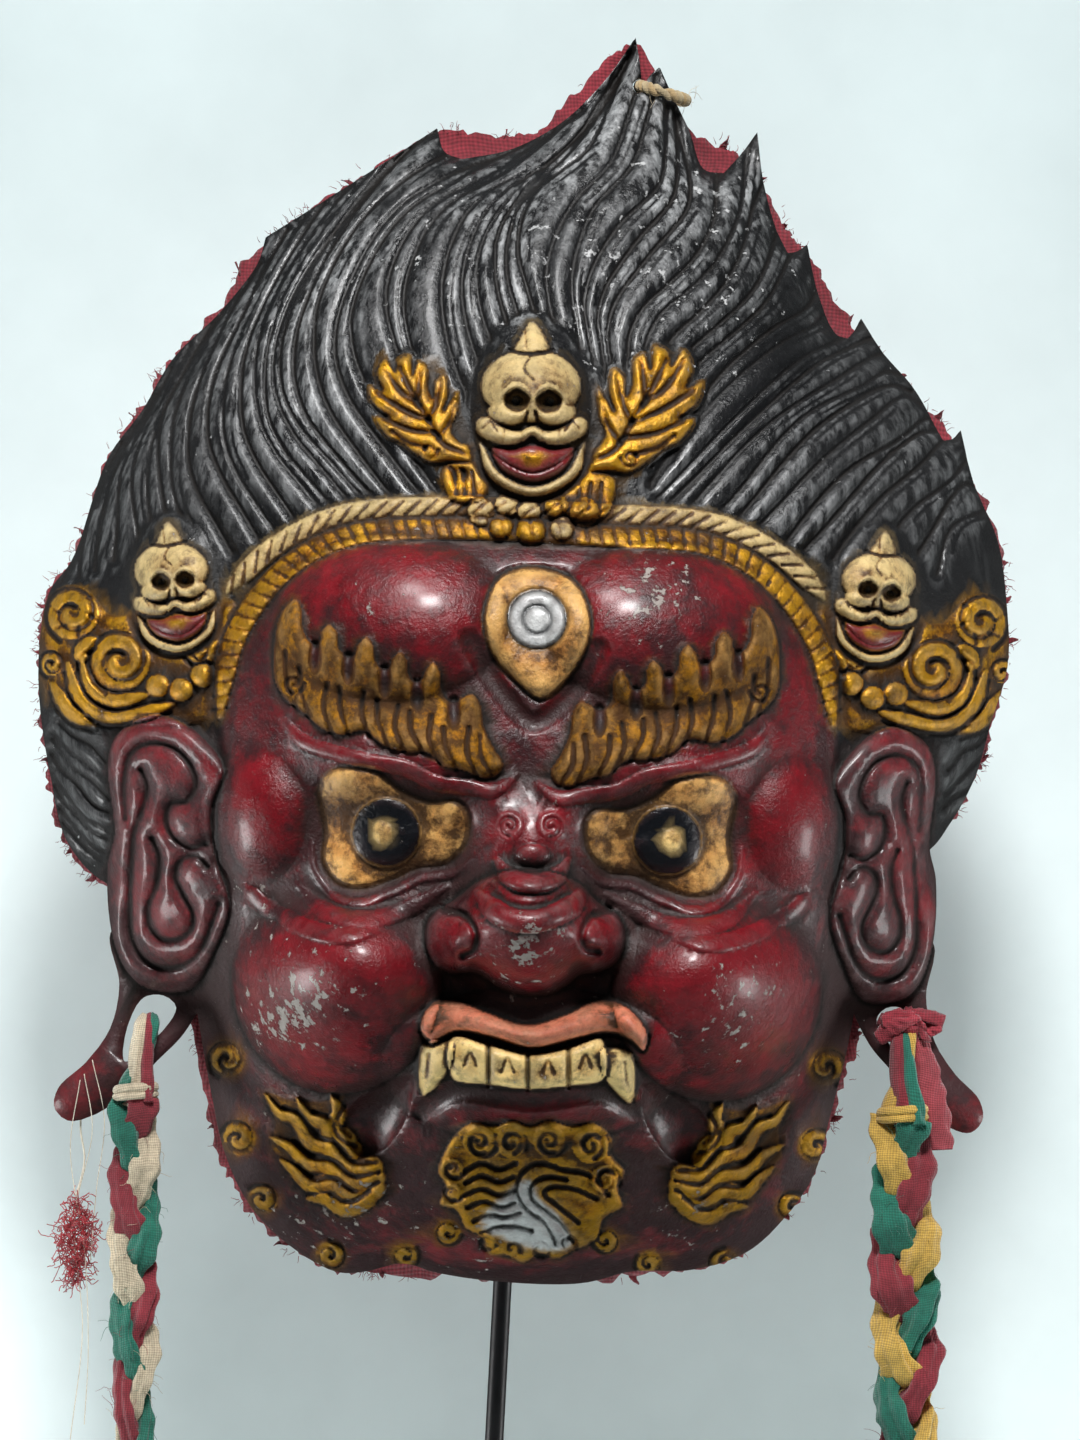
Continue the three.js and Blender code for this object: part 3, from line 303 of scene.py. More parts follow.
BEARD = [
    (444, 1150), (456, 1130), (474, 1118), (494, 1122), (512, 1116), (530, 1122), (550, 1116),
    (572, 1122), (594, 1119), (611, 1134), (612, 1152), (624, 1168), (618, 1186), (622, 1204),
    (604, 1216), (596, 1238), (572, 1250), (556, 1258), (540, 1252), (524, 1262), (506, 1254),
    (490, 1254), (482, 1236), (466, 1226), (456, 1208), (440, 1202), (446, 1184), (438, 1168),
]
BEARD_CURLS = [
    ((480, 1138), 15, 1), ((511, 1139), 14, -1), ((549, 1137), 15, 1), ((590, 1142), 17, -1),
    ((604, 1176), 13, -1), ((453, 1166), 10, 1), ((452, 1190), 9, 1), ((486, 1240), 9, 1),
    ((512, 1247), 8, -1), ((540, 1248), 8, 1), ((566, 1242), 9, -1),
]
BEARD_WAVES = [
    [(466, 1168), (482, 1160), (500, 1166), (516, 1160)],
    [(466, 1180), (482, 1173), (500, 1179), (514, 1174)],
    [(466, 1192), (482, 1186), (500, 1192), (513, 1188)],
    [(468, 1205), (484, 1199), (502, 1204), (515, 1200)],
    [(474, 1219), (490, 1212), (506, 1214), (520, 1210)],
    [(482, 1231), (500, 1224), (518, 1224), (532, 1228)],
]
BEARD_SWIRL = [
    [(556, 1164), (538, 1160), (522, 1170), (517, 1188), (526, 1206), (544, 1220), (556, 1242)],
    [(566, 1176), (546, 1174), (532, 1182), (532, 1196), (546, 1208), (562, 1222), (572, 1240)],
    [(596, 1196), (574, 1186), (552, 1184), (544, 1190), (556, 1202), (578, 1220)],
    [(608, 1192), (588, 1172), (560, 1166)],
]
BEARD_WHITE = [
    (518, 1180), (530, 1176), (540, 1196), (558, 1212), (572, 1242), (552, 1250), (500, 1236),
    (480, 1222),
]
CORNER_LEAF = [
    (268, 1092), (290, 1098), (320, 1100), (346, 1092), (338, 1112), (332, 1132), (343, 1151),
    (362, 1158), (379, 1166), (369, 1187), (346, 1199), (320, 1196), (301, 1182), (288, 1162),
    (272, 1148), (276, 1124),
]
CORNER_FLAMES = [
    [(372, 1166), (350, 1166), (330, 1146), (312, 1140), (296, 1118), (280, 1112), (265, 1092)],
    [(352, 1150), (336, 1142), (326, 1122), (310, 1116), (298, 1096)],
    [(346, 1140), (334, 1126), (340, 1110), (332, 1092)],
    [(374, 1176), (350, 1180), (328, 1164), (308, 1162), (290, 1146), (270, 1136)],
    [(374, 1186), (352, 1196), (330, 1182), (310, 1184), (294, 1170), (280, 1158)],
    [(366, 1195), (346, 1206), (326, 1198), (306, 1198)],
]
JAW_CURLS = [
    ((227, 1058), 20), ((238, 1138), 19), ((262, 1200), 16), ((330, 1257), 16), ((405, 1257), 15),
    ((448, 1231), 14),
]

# Ear; the right one is narrower and sits lower
EAR_MIDDLE = 170
RIGHT_EAR_MIDDLE = 882
RIGHT_EAR_SQUEEZE = 0.87
RIGHT_EAR_DROP = 12
EAR_LINES = [
    [
        (127, 818), (126, 780), (133, 754), (152, 743), (176, 748), (193, 766), (198, 786), (190, 800),
        (174, 803), (168, 820), (176, 838), (192, 846), (208, 843),
    ],
    [
        (143, 770), (149, 788), (145, 808), (136, 832), (133, 860), (131, 900), (132, 938), (145, 960),
        (165, 968), (188, 963), (203, 948), (213, 925), (221, 903),
    ],
    [
        (154, 838), (161, 858), (158, 885), (150, 906), (151, 926), (163, 938), (180, 938), (193, 928),
        (194, 912), (184, 893), (177, 876), (183, 860), (198, 856), (209, 866),
    ],
]

# Ornaments of the diadem
SIDE_PLATE = [
    (37, 660), (42, 606), (66, 590), (96, 600), (114, 616), (140, 612), (210, 606), (238, 604),
    (228, 660), (216, 716), (150, 726), (90, 718), (50, 700),
]
SIDE_FLOWER = (73, 613)
SIDE_SCROLLS = [((122, 661), 31, 10), (SIDE_FLOWER, 27, 9), ((200, 650), 13, 6), ((51, 664), 12, 5)]
SIDE_RIBS = [
    [(82, 662), (92, 688), (116, 701), (152, 694)],
    [(68, 664), (78, 694), (106, 716), (150, 712), (176, 704)],
    [(52, 684), (70, 712), (96, 722)],
    [(100, 640), (84, 648), (82, 664)],
]
SIDE_BEADS = [(219, 652), (205, 676), (183, 690), (160, 686)]
DIADEM_ROPE = [(533, 512), (440, 509), (340, 518), (276, 549), (228, 592)]
DIADEM_BAND = [(533, 533), (440, 530), (350, 537), (296, 563), (256, 606), (232, 652), (222, 716)]
DIADEM_BEADS = [
    (482, 514, 14, "bone"), (507, 507, 12, "bone"), (529, 514, 12, "bone"), (584, 514, 15, "bone"),
    (556, 508, 12, "gold"), (501, 528, 12, "gold"), (531, 532, 15, "gold"), (562, 530, 12, "bone"),
]
LEAF = [
    (472, 464), (448, 464), (432, 465), (416, 456), (404, 446), (388, 438), (377, 420), (389, 419),
    (374, 406), (370, 388), (383, 393), (378, 376), (386, 361), (396, 374), (399, 362), (411, 358),
    (414, 376), (419, 364), (428, 370), (429, 390), (434, 400), (436, 384), (445, 377), (449, 396),
    (445, 412), (452, 402), (458, 394), (458, 416), (452, 432), (460, 444), (476, 450),
]
LEAF_LINES = [
    [(468, 457), (444, 446), (428, 420), (412, 394), (401, 370)],
    [(436, 436), (410, 432), (386, 422)],
    [(430, 424), (404, 412), (378, 396)],
    [(420, 408), (400, 392), (386, 370)],
    [(418, 402), (420, 384), (422, 370)],
    [(430, 422), (438, 404), (442, 384)],
    [(440, 440), (450, 424), (455, 404)],
    [(426, 450), (408, 444), (394, 434)],
]
LEAF_CURL = (431, 453)
LEAF_BASE = (466, 455)
RIGHT_LEAF_SCALE = 1.18
LEAF_STUB = [(444, 470), (484, 466), (486, 500), (452, 502)]

# Skulls: place, size, tilt and lift, then lines drawn about the middle of the dome
SKULLS = [((531, 391), 0.93, 0, 9), ((173, 572), 0.7, -0.1, 6), ((877, 582), 0.7, 0.12, 6)]
SKULL_AROUND = [
    (0, -74), (-36, -44), (-58, 0), (-62, 46), (-44, 94), (2, 114), (48, 94), (64, 46), (60, 0),
    (38, -44),
]
SKULL_KNOT = [(1, -72), (-13, -52), (-20, -34), (20, -34), (17, -52)]
SKULL_JAW = [
    (-58, 34), (-44, 30), (-30, 40), (-14, 46), (2, 40), (18, 46), (34, 40), (48, 30), (60, 34), (60, 48),
    (44, 58), (26, 62), (10, 58), (2, 52), (-8, 58), (-24, 62), (-42, 58), (-58, 48),
]
SKULL_CHIN = [(-54, 60), (-40, 92), (2, 111), (44, 92), (57, 60)]
SKULL_MOUTH = [
    (-42, 64), (-20, 66), (2, 61), (24, 66), (46, 64), (37, 86), (20, 97), (3, 101), (-14, 97), (-33, 86),
]
SKULL_TONGUE = [(-12, 72), (2, 75), (16, 72)]
SKULL_GUM = [(-44, 66), (-20, 84), (2, 91), (24, 84), (48, 66)]
SKULL_EYES = [(-15, 14), (19, 15)]
SKULL_CROWN = [(-24, -40), (0, -36), (24, -40)]
SKULL_CRACKS = [[(0, -34), (-7, -20), (3, -8)], [(-6, -64), (-5, -42)]]

# Guide strands of the hair, root to end, in order from left to right
STRANDS = [
    [(62, 585), (78, 530), (98, 480), (118, 444)],
    [(118, 560), (118, 490), (140, 430), (172, 366)],
    [(205, 560), (178, 480), (180, 400), (205, 345), (240, 285)],
    [(262, 548), (215, 450), (215, 380), (245, 310), (290, 226)],
    [(330, 520), (262, 430), (258, 350), (290, 270), (345, 186)],
    [(385, 508), (300, 400), (295, 330), (335, 240), (400, 160), (435, 130)],
    [(425, 505), (345, 380), (340, 310), (385, 220), (450, 176), (520, 146)],
    [(470, 470), (415, 350), (405, 290), (440, 215), (520, 165), (585, 104)],
    [(500, 420), (470, 330), (465, 270), (490, 205), (560, 155), (615, 75)],
    [(533, 318), (521, 250), (535, 190), (585, 145), (618, 90), (635, 42)],
    [(580, 350), (572, 280), (596, 215), (636, 170), (648, 125), (657, 74)],
    [(620, 400), (612, 320), (652, 250), (688, 205), (692, 165), (684, 120)],
    [(650, 420), (652, 340), (712, 275), (738, 220), (746, 178), (756, 136)],
    [(650, 470), (690, 380), (758, 310), (786, 275), (804, 246)],
    [(650, 500), (730, 420), (800, 360), (838, 340), (858, 320)],
    [(710, 515), (790, 430), (848, 390), (880, 372), (900, 374)],
    [(780, 545), (845, 470), (890, 436), (925, 415), (936, 424)],
    [(840, 560), (880, 496), (930, 460), (958, 434)],
    [(915, 560), (938, 515), (966, 490), (978, 484)],
    [(960, 590), (975, 556), (990, 540), (998, 538)],
]
STRAND_PITCH = 23
SIDE_STRANDS = [
    [(60, 722), (84, 742), (106, 760)],
    [(52, 742), (80, 776), (110, 800)],
    [(50, 772), (76, 808), (108, 832)],
    [(58, 806), (80, 834), (104, 850)],
    [(66, 838), (80, 856), (98, 868)],
]

# Spots where the paint has flaked: place on the sheet, reach and strength
WORN_SPOTS = [
    ((532, 946), 44, 1.3), ((318, 990), 56, 1.0), ((275, 1020), 36, 0.9), ((735, 985), 52, 0.8),
    ((648, 590), 46, 1.0), ((712, 1040), 36, 0.6), ((600, 300), 130, 0.35), ((700, 230), 120, 0.45),
    ((400, 240), 140, 0.25), ((680, 1215), 50, 0.7), ((370, 1200), 40, 0.8), ((250, 900), 40, 0.5),
    ((480, 1240), 50, 0.6), ((300, 1230), 50, 0.6), ((392, 590), 50, 0.3),
]

# Stage, in metres: a floor that bends up into a wall, and lamps with place, target, size and power
FLOOR_FRONT = -0.3
BEND_FROM = 0.11
BEND_RADIUS = 0.08
WALL_AT = BEND_FROM + BEND_RADIUS
WALL_HIGH = 3.2
STAGE_HALF = 3.0
CAMERA_FAR = 6.0
FACE_AT = (0.02, 0.0, 0.43)
LAMPS = {
    "key_lamp": ((0.1, -1.6, 2.0), FACE_AT, 0.45, 50.0),
    "top_lamp": ((-0.25, -0.9, 1.9), FACE_AT, 0.4, 10.0),
    "left_lamp": ((-0.6, 0.05, 0.15), (-0.3, WALL_AT, 0.3), 0.2, 1.6),
    "right_lamp": ((0.65, 0.05, 0.15), (0.35, WALL_AT, 0.3), 0.2, 1.2),
}
ROOM_TINT = (0.80, 0.88, 0.92, 1)
ROOM_LIGHT = 0.08


class MaskSettings(bpy.types.PropertyGroup):
    """Sizes of the mask's carving."""

    strand_depth: bpy.props.FloatProperty(
        name="Strand groove", description="Depth of the grooves between strands of hair, in millimetres",
        default=1.9, min=0.2, max=4.0,
    )
    stroke_depth: bpy.props.FloatProperty(
        name="Fine strokes", description="Depth of the fine cut strokes, in millimetres",
        default=0.9, min=0.1, max=2.0,
    )


def hue(name, use, colour):
    return bpy.props.FloatVectorProperty(name=name, description=use, subtype="COLOR", default=colour)


class PaintSettings(bpy.types.PropertyGroup):
    """Colours of the paints and dyes."""

    red: hue("Red lacquer", "Face, ears and jaw", (0.205, 0.006, 0.012))
    hair: hue("Black lacquer", "Hair", (0.009, 0.009, 0.010))
    gold: hue("Gold paint", "Diadem, leaves, flames, curls and beard", (0.63, 0.315, 0.012))
    bronze: hue("Darkened gold", "Brows and the ground of the flames", (0.47, 0.205, 0.008))
    bone: hue("Bone paint", "Skulls and the diadem's rope", (0.66, 0.48, 0.21))
    cream: hue("Cream paint", "Eyes", (0.86, 0.48, 0.15))
    tooth: hue("Tooth paint", "Teeth and fangs", (0.95, 0.67, 0.26))
    lip: hue("Lip paint", "Upper lip", (0.66, 0.185, 0.10))
    pupil: hue("Pupil paint", "Pupils and gaps", (0.006, 0.007, 0.010))
    silver: hue("Silver paint", "Third eye's ring and the beard's middle", (0.60, 0.60, 0.59))
    mouth: hue("Mouth paint", "Mouths of the skulls", (0.20, 0.012, 0.014))
    cloth: hue("Red cotton", "Lining and ties", (0.24, 0.022, 0.034))
    green: hue("Green cotton", "Green strips of the braids", (0.012, 0.155, 0.105))
    pale: hue("Undyed cotton", "Pale strips and string", (0.62, 0.52, 0.37))
    yellow: hue("Yellow cotton", "Yellow strips of the right braid", (0.58, 0.36, 0.07))


# Roughness of each paint
GLOSS = {
    "red": 0.28, "hair": 0.22, "gold": 0.42, "bronze": 0.46, "bone": 0.44, "cream": 0.38, "tooth": 0.36,
    "lip": 0.50, "pupil": 0.12, "silver": 0.32, "mouth": 0.40,
}
PAINTS = list(GLOSS)

# Black of the stand
STEEL = (0.012, 0.012, 0.014)


def place(point):
    """Sheet point to millimetres across and above the chin."""
    return ((point[0] - SHEET_MIDDLE) * UNIT, (SHEET_CHIN - point[1]) * UNIT)


def left_side(point):
    return point


def right_side(point):
    return (SHEET_MIRROR - point[0], point[1] + SHEET_DROP)


def right_ear_side(point):
    return (RIGHT_EAR_MIDDLE + (EAR_MIDDLE - point[0]) * RIGHT_EAR_SQUEEZE, point[1] + RIGHT_EAR_DROP)


def right_leaf_side(point):
    u, v = (base + RIGHT_LEAF_SCALE * (value - base) for value, base in zip(point, LEAF_BASE))
    return right_side((u, v))


def run_length(points):
    return np.linalg.norm(np.diff(points, axis=0), axis=1).sum()


def spline(points, closed=False, spacing=2.0):
    """Evenly stepped centripetal curve through points of any dimension."""
    pts = np.asarray(points, dtype=float)
    count = len(pts)
    if closed:
        ring = np.vstack([pts[-1:], pts, pts[:2]])
        spans = count
    else:
        ring = np.vstack([2 * pts[:1] - pts[1:2], pts, 2 * pts[-1:] - pts[-2:-1]])
        spans = count - 1
    steps = max(3, int(math.ceil(run_length(ring[1:spans + 2]) / spacing / spans)))
    out = []
    for k in range(spans):
        p0, p1, p2, p3 = ring[k:k + 4]
        t1 = max(np.linalg.norm(p1 - p0) ** 0.5, 1e-4)
        t2 = t1 + max(np.linalg.norm(p2 - p1) ** 0.5, 1e-4)
        t3 = t2 + max(np.linalg.norm(p3 - p2) ** 0.5, 1e-4)
        t = np.linspace(t1, t2, steps, endpoint=False)[:, None]
        a1 = (t1 - t) / t1 * p0 + t / t1 * p1
        a2 = (t2 - t) / (t2 - t1) * p1 + (t - t1) / (t2 - t1) * p2
        a3 = (t3 - t) / (t3 - t2) * p2 + (t - t2) / (t3 - t2) * p3
        b1 = (t2 - t) / t2 * a1 + t / t2 * a2
        b2 = (t3 - t) / (t3 - t1) * a2 + (t - t1) / (t3 - t1) * a3
        out.append((t2 - t) / (t2 - t1) * b1 + (t - t1) / (t2 - t1) * b2)
    if not closed:
        out.append(pts[-1:])
    return np.vstack(out)


def curve(points, closed=False, spacing=1.5):
    return spline([place(p) for p in points], closed, spacing)


def cornered(runs):
    """Runs of smooth curve that meet in sharp corners."""
    return np.vstack([curve(run)[:-1] for run in runs])


class Grid:
    """Even grid over the front view, and distances measured on it."""

    def __init__(self, step):
        self.step = step
        self.x = GRID_LEFT + np.arange(int(GRID_WIDE / step) + 1) * step
        self.h = GRID_BOTTOM + np.arange(int(GRID_TALL / step) + 1) * step
        self.shape = (len(self.h), len(self.x))

    def window(self, points, reach):
        low = points.min(axis=0) - reach
        high = points.max(axis=0) + reach
        c0, c1 = ((v - GRID_LEFT) / self.step for v in (low[0], high[0]))
        r0, r1 = ((v - GRID_BOTTOM) / self.step for v in (low[1], high[1]))
        rows = slice(max(int(r0), 0), max(min(int(r1) + 2, self.shape[0]), 0))
        cols = slice(max(int(c0), 0), max(min(int(c1) + 2, self.shape[1]), 0))
        return rows, cols

    def near(self, points, reach, closed=False):
        """Window, distance up to reach, and share of the way along the line."""
        pts = np.asarray(points, dtype=float)
        rows, cols = self.window(pts, reach)
        shape = (rows.stop - rows.start, cols.stop - cols.start)
        best = np.full(shape, float(reach))
        along = np.zeros(shape)
        ends = np.roll(pts, -1, axis=0) if closed else pts[1:]
        count = len(ends)
        for k in range(count):
            a = pts[k]
            b = ends[k]
            r, c = self.window(np.array([a, b]), reach)
            x = self.x[c][None, :] - a[0]
            h = self.h[r][:, None] - a[1]
            if not x.size or not h.size:
                continue
            dx, dh = b - a
            t = np.clip((x * dx + h * dh) / max(dx * dx + dh * dh, 1e-9), 0, 1)
            d = np.hypot(x - t * dx, h - t * dh)
            spot = (
                slice(r.start - rows.start, r.stop - rows.start),
                slice(c.start - cols.start, c.stop - cols.start),
            )
            closer = d < best[spot]
            best[spot] = np.where(closer, d, best[spot])
            along[spot] = np.where(closer, (k + t) / count, along[spot])
        return (rows, cols), best, along

    def contains(self, points, window):
        rows, cols = window
        pts = np.asarray(points, dtype=float)
        inside = np.zeros((rows.stop - rows.start, cols.stop - cols.start), dtype=bool)
        xs = self.x[cols]
        hs = self.h[rows]
        for a, b in zip(pts, np.roll(pts, -1, axis=0)):
            if a[1] == b[1]:
                continue
            low, high = min(a[1], b[1]), max(a[1], b[1])
            crossed = np.nonzero((hs >= low) & (hs < high))[0]
            for r in crossed:
                cut = a[0] + (hs[r] - a[1]) * (b[0] - a[0]) / (b[1] - a[1])
                inside[r, np.searchsorted(xs, cut):] ^= True
        return inside

    def insideness(self, points, reach=8.0):
        """Signed distance over the whole grid, positive inside, cut off at reach."""
        field = np.full(self.shape, -float(reach))
        window, d, _ = self.near(points, reach, closed=True)
        field[window] = np.where(self.contains(points, window), d, -d)
        return field

    def blur(self, field, radius, passes=2):
        reach = max(int(round(radius / self.step)), 1)
        for _ in range(passes):
            for axis in (0, 1):
                pad = [(0, 0), (0, 0)]
                pad[axis] = (reach + 1, reach)
                total = np.cumsum(np.pad(field, pad, mode="edge"), axis=axis)
                width = 2 * reach + 1
                upper = np.take(total, range(width, total.shape[axis]), axis=axis)
                lower = np.take(total, range(0, total.shape[axis] - width), axis=axis)
                field = (upper - lower) / width
        return field

    def sample(self, field, x, h):
        c = np.clip((np.asarray(x) - GRID_LEFT) / self.step, 0, self.shape[1] - 1.001)
        r = np.clip((np.asarray(h) - GRID_BOTTOM) / self.step, 0, self.shape[0] - 1.001)
        c0 = c.astype(int)
        r0 = r.astype(int)
        fc = c - c0
        fr = r - r0
        top = field[r0 + 1, c0] * (1 - fc) + field[r0 + 1, c0 + 1] * fc
        low = field[r0, c0] * (1 - fc) + field[r0, c0 + 1] * fc
        return low * (1 - fr) + top * fr

    def finer(self, field, fine):
        """Field of this grid read on a finer one."""
        x, h = np.meshgrid(fine.x, fine.h)
        return self.sample(field, x, h)


def inflate(grid, inside, power):
    """Soft dome over any outline: the shape a stretched skin takes when it is blown up."""
    skin = np.zeros(grid.shape)
    rows, cols = np.indices(grid.shape)
    halves = [inside & ((rows + cols) % 2 == odd) for odd in (0, 1)]
    for half in halves:
        half[0, :] = half[-1, :] = False
        half[:, 0] = half[:, -1] = False
    index = [np.nonzero(half) for half in halves]
    for _ in range(SKIN_ROUNDS):
        for r, c in index:
            around = skin[r - 1, c] + skin[r + 1, c] + skin[r, c - 1] + skin[r, c + 1]
            skin[r, c] += SKIN_PULL * ((around + 1) / 4 - skin[r, c])
    return np.power(np.maximum(skin, 0) / skin.max(), power)


def rounded(t):
    return np.sqrt(np.clip(1 - t * t, 0, 1))


class Relief:
    """Depth of the mask's front and the paint that lies on it."""

    def __init__(self, grid, depth):
        self.grid = grid
        self.depth = depth
        self.ground = depth.copy()
        self.top = None
        self.paint = np.zeros(grid.shape, dtype=int)

    @contextmanager
    def layer(self):
        """Strokes laid inside overlap like clay: where they cross, the higher one shows."""
        self.top = np.zeros(self.grid.shape)
        yield
        self.depth += self.top
        self.top = None

    def lift(self, window, amount):
        if self.top is None:
            self.depth[window] += amount
        else:
            self.top[window] = np.maximum(self.top[window], amount)

    def coat(self, window, where, paint):
        if paint:
            self.paint[window][where] = PAINTS.index(paint)

    def clear(self, points, reach, closed=False):
        """Bring back the ground that was there before the hair."""
        window, d, _ = self.grid.near(points, reach, closed)
        share = np.clip(2 - 2 * d / reach, 0, 1)
        if closed:
            share = np.where(self.grid.contains(points, window), 1, share)
        self.depth[window] += share * (self.ground[window] - self.depth[window])

    def pillow(self, points, height, ramp, paint=None, power=0.5):
        """Raised shape; a higher power makes its edge gentler."""
        window, d, _ = self.grid.near(points, ramp, closed=True)
        inside = self.grid.contains(points, window)
        self.lift(window, np.where(inside, height * np.clip(1 - (1 - d / ramp) ** 2, 0, 1) ** power, 0))
        self.coat(window, inside, paint)

    def ridge(self, points, width, height, taper=0.35, paint=None):
        window, d, along = self.grid.near(points, width)
        end = np.minimum(1, np.minimum(along, 1 - along) / taper + 0.35)
        within = d < width * end
        self.lift(window, np.where(within, height * end * rounded(d / (width * end)), 0))
        self.coat(window, within, paint)

    def flame(self, points, width, height, paint=None):
        """Tongue that is broad at its root and runs out to a point."""
        window, d, along = self.grid.near(points, width)
        reach = np.minimum(width, width * (1 - along) ** 0.6 + 0.3)
        within = d < reach
        self.lift(window, np.where(within, height * (0.5 + 0.5 * (1 - along)) * rounded(d / reach), 0))
        self.coat(window, within, paint)

    def swell(self, points, width, height):
        window, d, along = self.grid.near(points, width)
        end = np.minimum(1, np.minimum(3 * along, 3 * (1 - along)))
        self.lift(window, height * end * np.clip(1 - (d / width) ** 2, 0, 1) ** 1.5)

    def groove(self, points, width, depth, paint=None):
        window, d, _ = self.grid.near(points, width)
        self.depth[window] -= depth * np.clip(1 - (d / width) ** 2, 0, 1)
        self.coat(window, d < 0.7 * width, paint)

    def around(self, centre, reach):
        """Window about a point, and how far across and up from it each place lies."""
        rows, cols = self.grid.window(np.array([centre]), reach)
        x = self.grid.x[cols][None, :] - centre[0]
        h = self.grid.h[rows][:, None] - centre[1]
        return (rows, cols), x, h

    def ball(self, centre, radii, height, power=0.5, paint=None):
        window, x, h = self.around(centre, max(radii))
        r = (x / radii[0]) ** 2 + (h / radii[1]) ** 2
        self.lift(window, height * np.clip(1 - r, 0, 1) ** power * (r < 1))
        self.coat(window, r < 1, paint)

    def cheek(self, centre, radii, top, height):
        """Bulge with a crisp lower edge that melts away upward."""
        window, x, h = self.around(centre, max(*radii, top))
        rise = np.maximum(h, 0) / top
        r = (x / radii[0]) ** 2 + np.where(h > 0, rise, h / radii[1]) ** 2
        self.lift(window, height * np.clip(1 - r, 0, 1) ** (0.75 + 1.1 * rise) * (r < 1))

    def fill(self, points, paint):
        window = self.grid.window(np.asarray(points), 0)
        self.coat(window, self.grid.contains(points, window), paint)


class Pen:
    """Carves on one side of the sheet, in the sheet's units."""

    def __init__(self, relief, side, size=1.0):
        self.relief = relief
        self.layer = relief.layer
        self.side = side
        self.unit = size * UNIT

    def line(self, points, closed=False):
        return curve([self.side(p) for p in points], closed, 1.0)

    def clear(self, points, reach):
        self.relief.clear(self.line(points, True), reach, True)

    def pillow(self, points, *form):
        self.relief.pillow(self.line(points, True), *form)

    def ridge(self, points, *form):
        self.relief.ridge(self.line(points), *form)

    def groove(self, points, *form):
        self.relief.groove(self.line(points), *form)

    def ball(self, centre, reach, *form):
        self.relief.ball(place(self.side(centre)), [part * self.unit for part in reach], *form)

    def spiral(self, centre, radius, turns=1.4, start=0.0, hand=1):
        """Volute that winds in towards its eye."""
        t = np.linspace(0, 1, 17)
        angle = start + hand * turns * 2 * math.pi * t
        r = radius * (1 - 0.8 * t)
        return np.stack([centre[0] + r * np.cos(angle), centre[1] + r * np.sin(angle)], axis=1)


def cross_strokes(line, spacing, reach, slant):
    """Short strokes across a line, leaning by slant."""
    steps = np.linalg.norm(np.diff(line, axis=0), axis=1)
    total = np.concatenate([[0], np.cumsum(steps)])
    for s in np.arange(spacing / 2, total[-1], spacing):
        spot = np.array([np.interp(s, total, line[:, k]) for k in (0, 1)])
        ahead = np.array([np.interp(s + 0.5, total, line[:, k]) for k in (0, 1)]) - spot
        ahead /= max(np.linalg.norm(ahead), 1e-6)
        across = np.array([-ahead[1], ahead[0]])
        lean = across * math.cos(slant) + ahead * math.sin(slant)
        yield np.array([spot - lean * reach, spot + lean * reach])


def carve_skull(relief, centre, size, tilt, lift, fine):
    """Skull with its topknot, jaw and open mouth."""
    def turn(point):
        a, b = point
        return (
            centre[0] + size * (a * math.cos(tilt) - b * math.sin(tilt)),
            centre[1] + size * (a * math.sin(tilt) + b * math.cos(tilt)),
        )

    pen = Pen(relief, turn, size)
    unit = pen.unit
    pen.clear(SKULL_AROUND, 3)
    pen.ball((0, 20), (64, 104), lift, 0.9)
    with pen.layer():
        pen.pillow(SKULL_KNOT, 5 * size, 4, "bone")
        pen.ball((0, -2), (54, 40), 9 * size, 0.42, "bone")
        for a in (-24, 26):
            pen.ball((a, 26), (23, 15), 7.5 * size, 0.42, "bone")
        pen.pillow(SKULL_JAW, 6 * size, 3.4, "bone")
        pen.ridge(SKULL_CHIN, 6 * unit, 4.5 * size, 0.25, "bone")
        pen.pillow(SKULL_MOUTH, 3.5 * size, 3, "mouth")
        pen.ridge(SKULL_TONGUE, 4.5 * unit, 4 * size, 0.4, "gold")
    pen.groove(SKULL_GUM, 2.5 * unit, 1.4 * fine * size)
    for a, b in SKULL_EYES:
        pen.ball((a, b), (15, 14), -8 * size, 0.8)
        pen.ball((a, b), (9, 8), 0, 0.8, "pupil")
        pen.ridge([(a - 16, b - 4), (a, b - 17), (a + 16, b - 4)], 4 * unit, 1.6 * size, 0.4)
    for shift in (-4, 5):
        pen.groove([(shift, 26), (shift * 1.4, 35)], 3 * unit, 2 * size)
    for shift in (-28, -10, 12, 30):
        pen.groove([(shift, 46), (shift * 1.05, 58)], 2.2 * unit, fine * size)
    pen.groove(SKULL_CROWN, 3 * unit, 1.6 * size)
    for crack in SKULL_CRACKS:
        pen.groove(crack, 2.2 * unit, fine * size)
    for side in (-1, 1):
        corner = [(side * 52, 44), (side * 44, 36), (side * 36, 46)]
        pen.groove(corner, 2.2 * unit, 1.3 * fine * size)


def carve_cheek(pen):
    """Forehead, socket, temple, cheek and the folds under the eye."""
    pen.ball(FOREHEAD, (118, 84), 12, 0.9)
    pen.relief.swell(pen.line(BROW_SWELL), 60 * UNIT, 8)
    pen.ball(SOCKET, (105, 70), -8, 1.3)
    pen.ball(TEMPLE, (54, 68), 8, 1.1)
    pen.ball(CHEEK_FOOT, (124, 112), 8, 1.6)
    pen.relief.cheek(place(pen.side(CHEEK)), (106 * UNIT, 116 * UNIT), 92 * UNIT, 21)
    with pen.layer():
        for fold in CHEEK_FOLDS:
            pen.ridge(fold, 3, 1.8, 0.35)


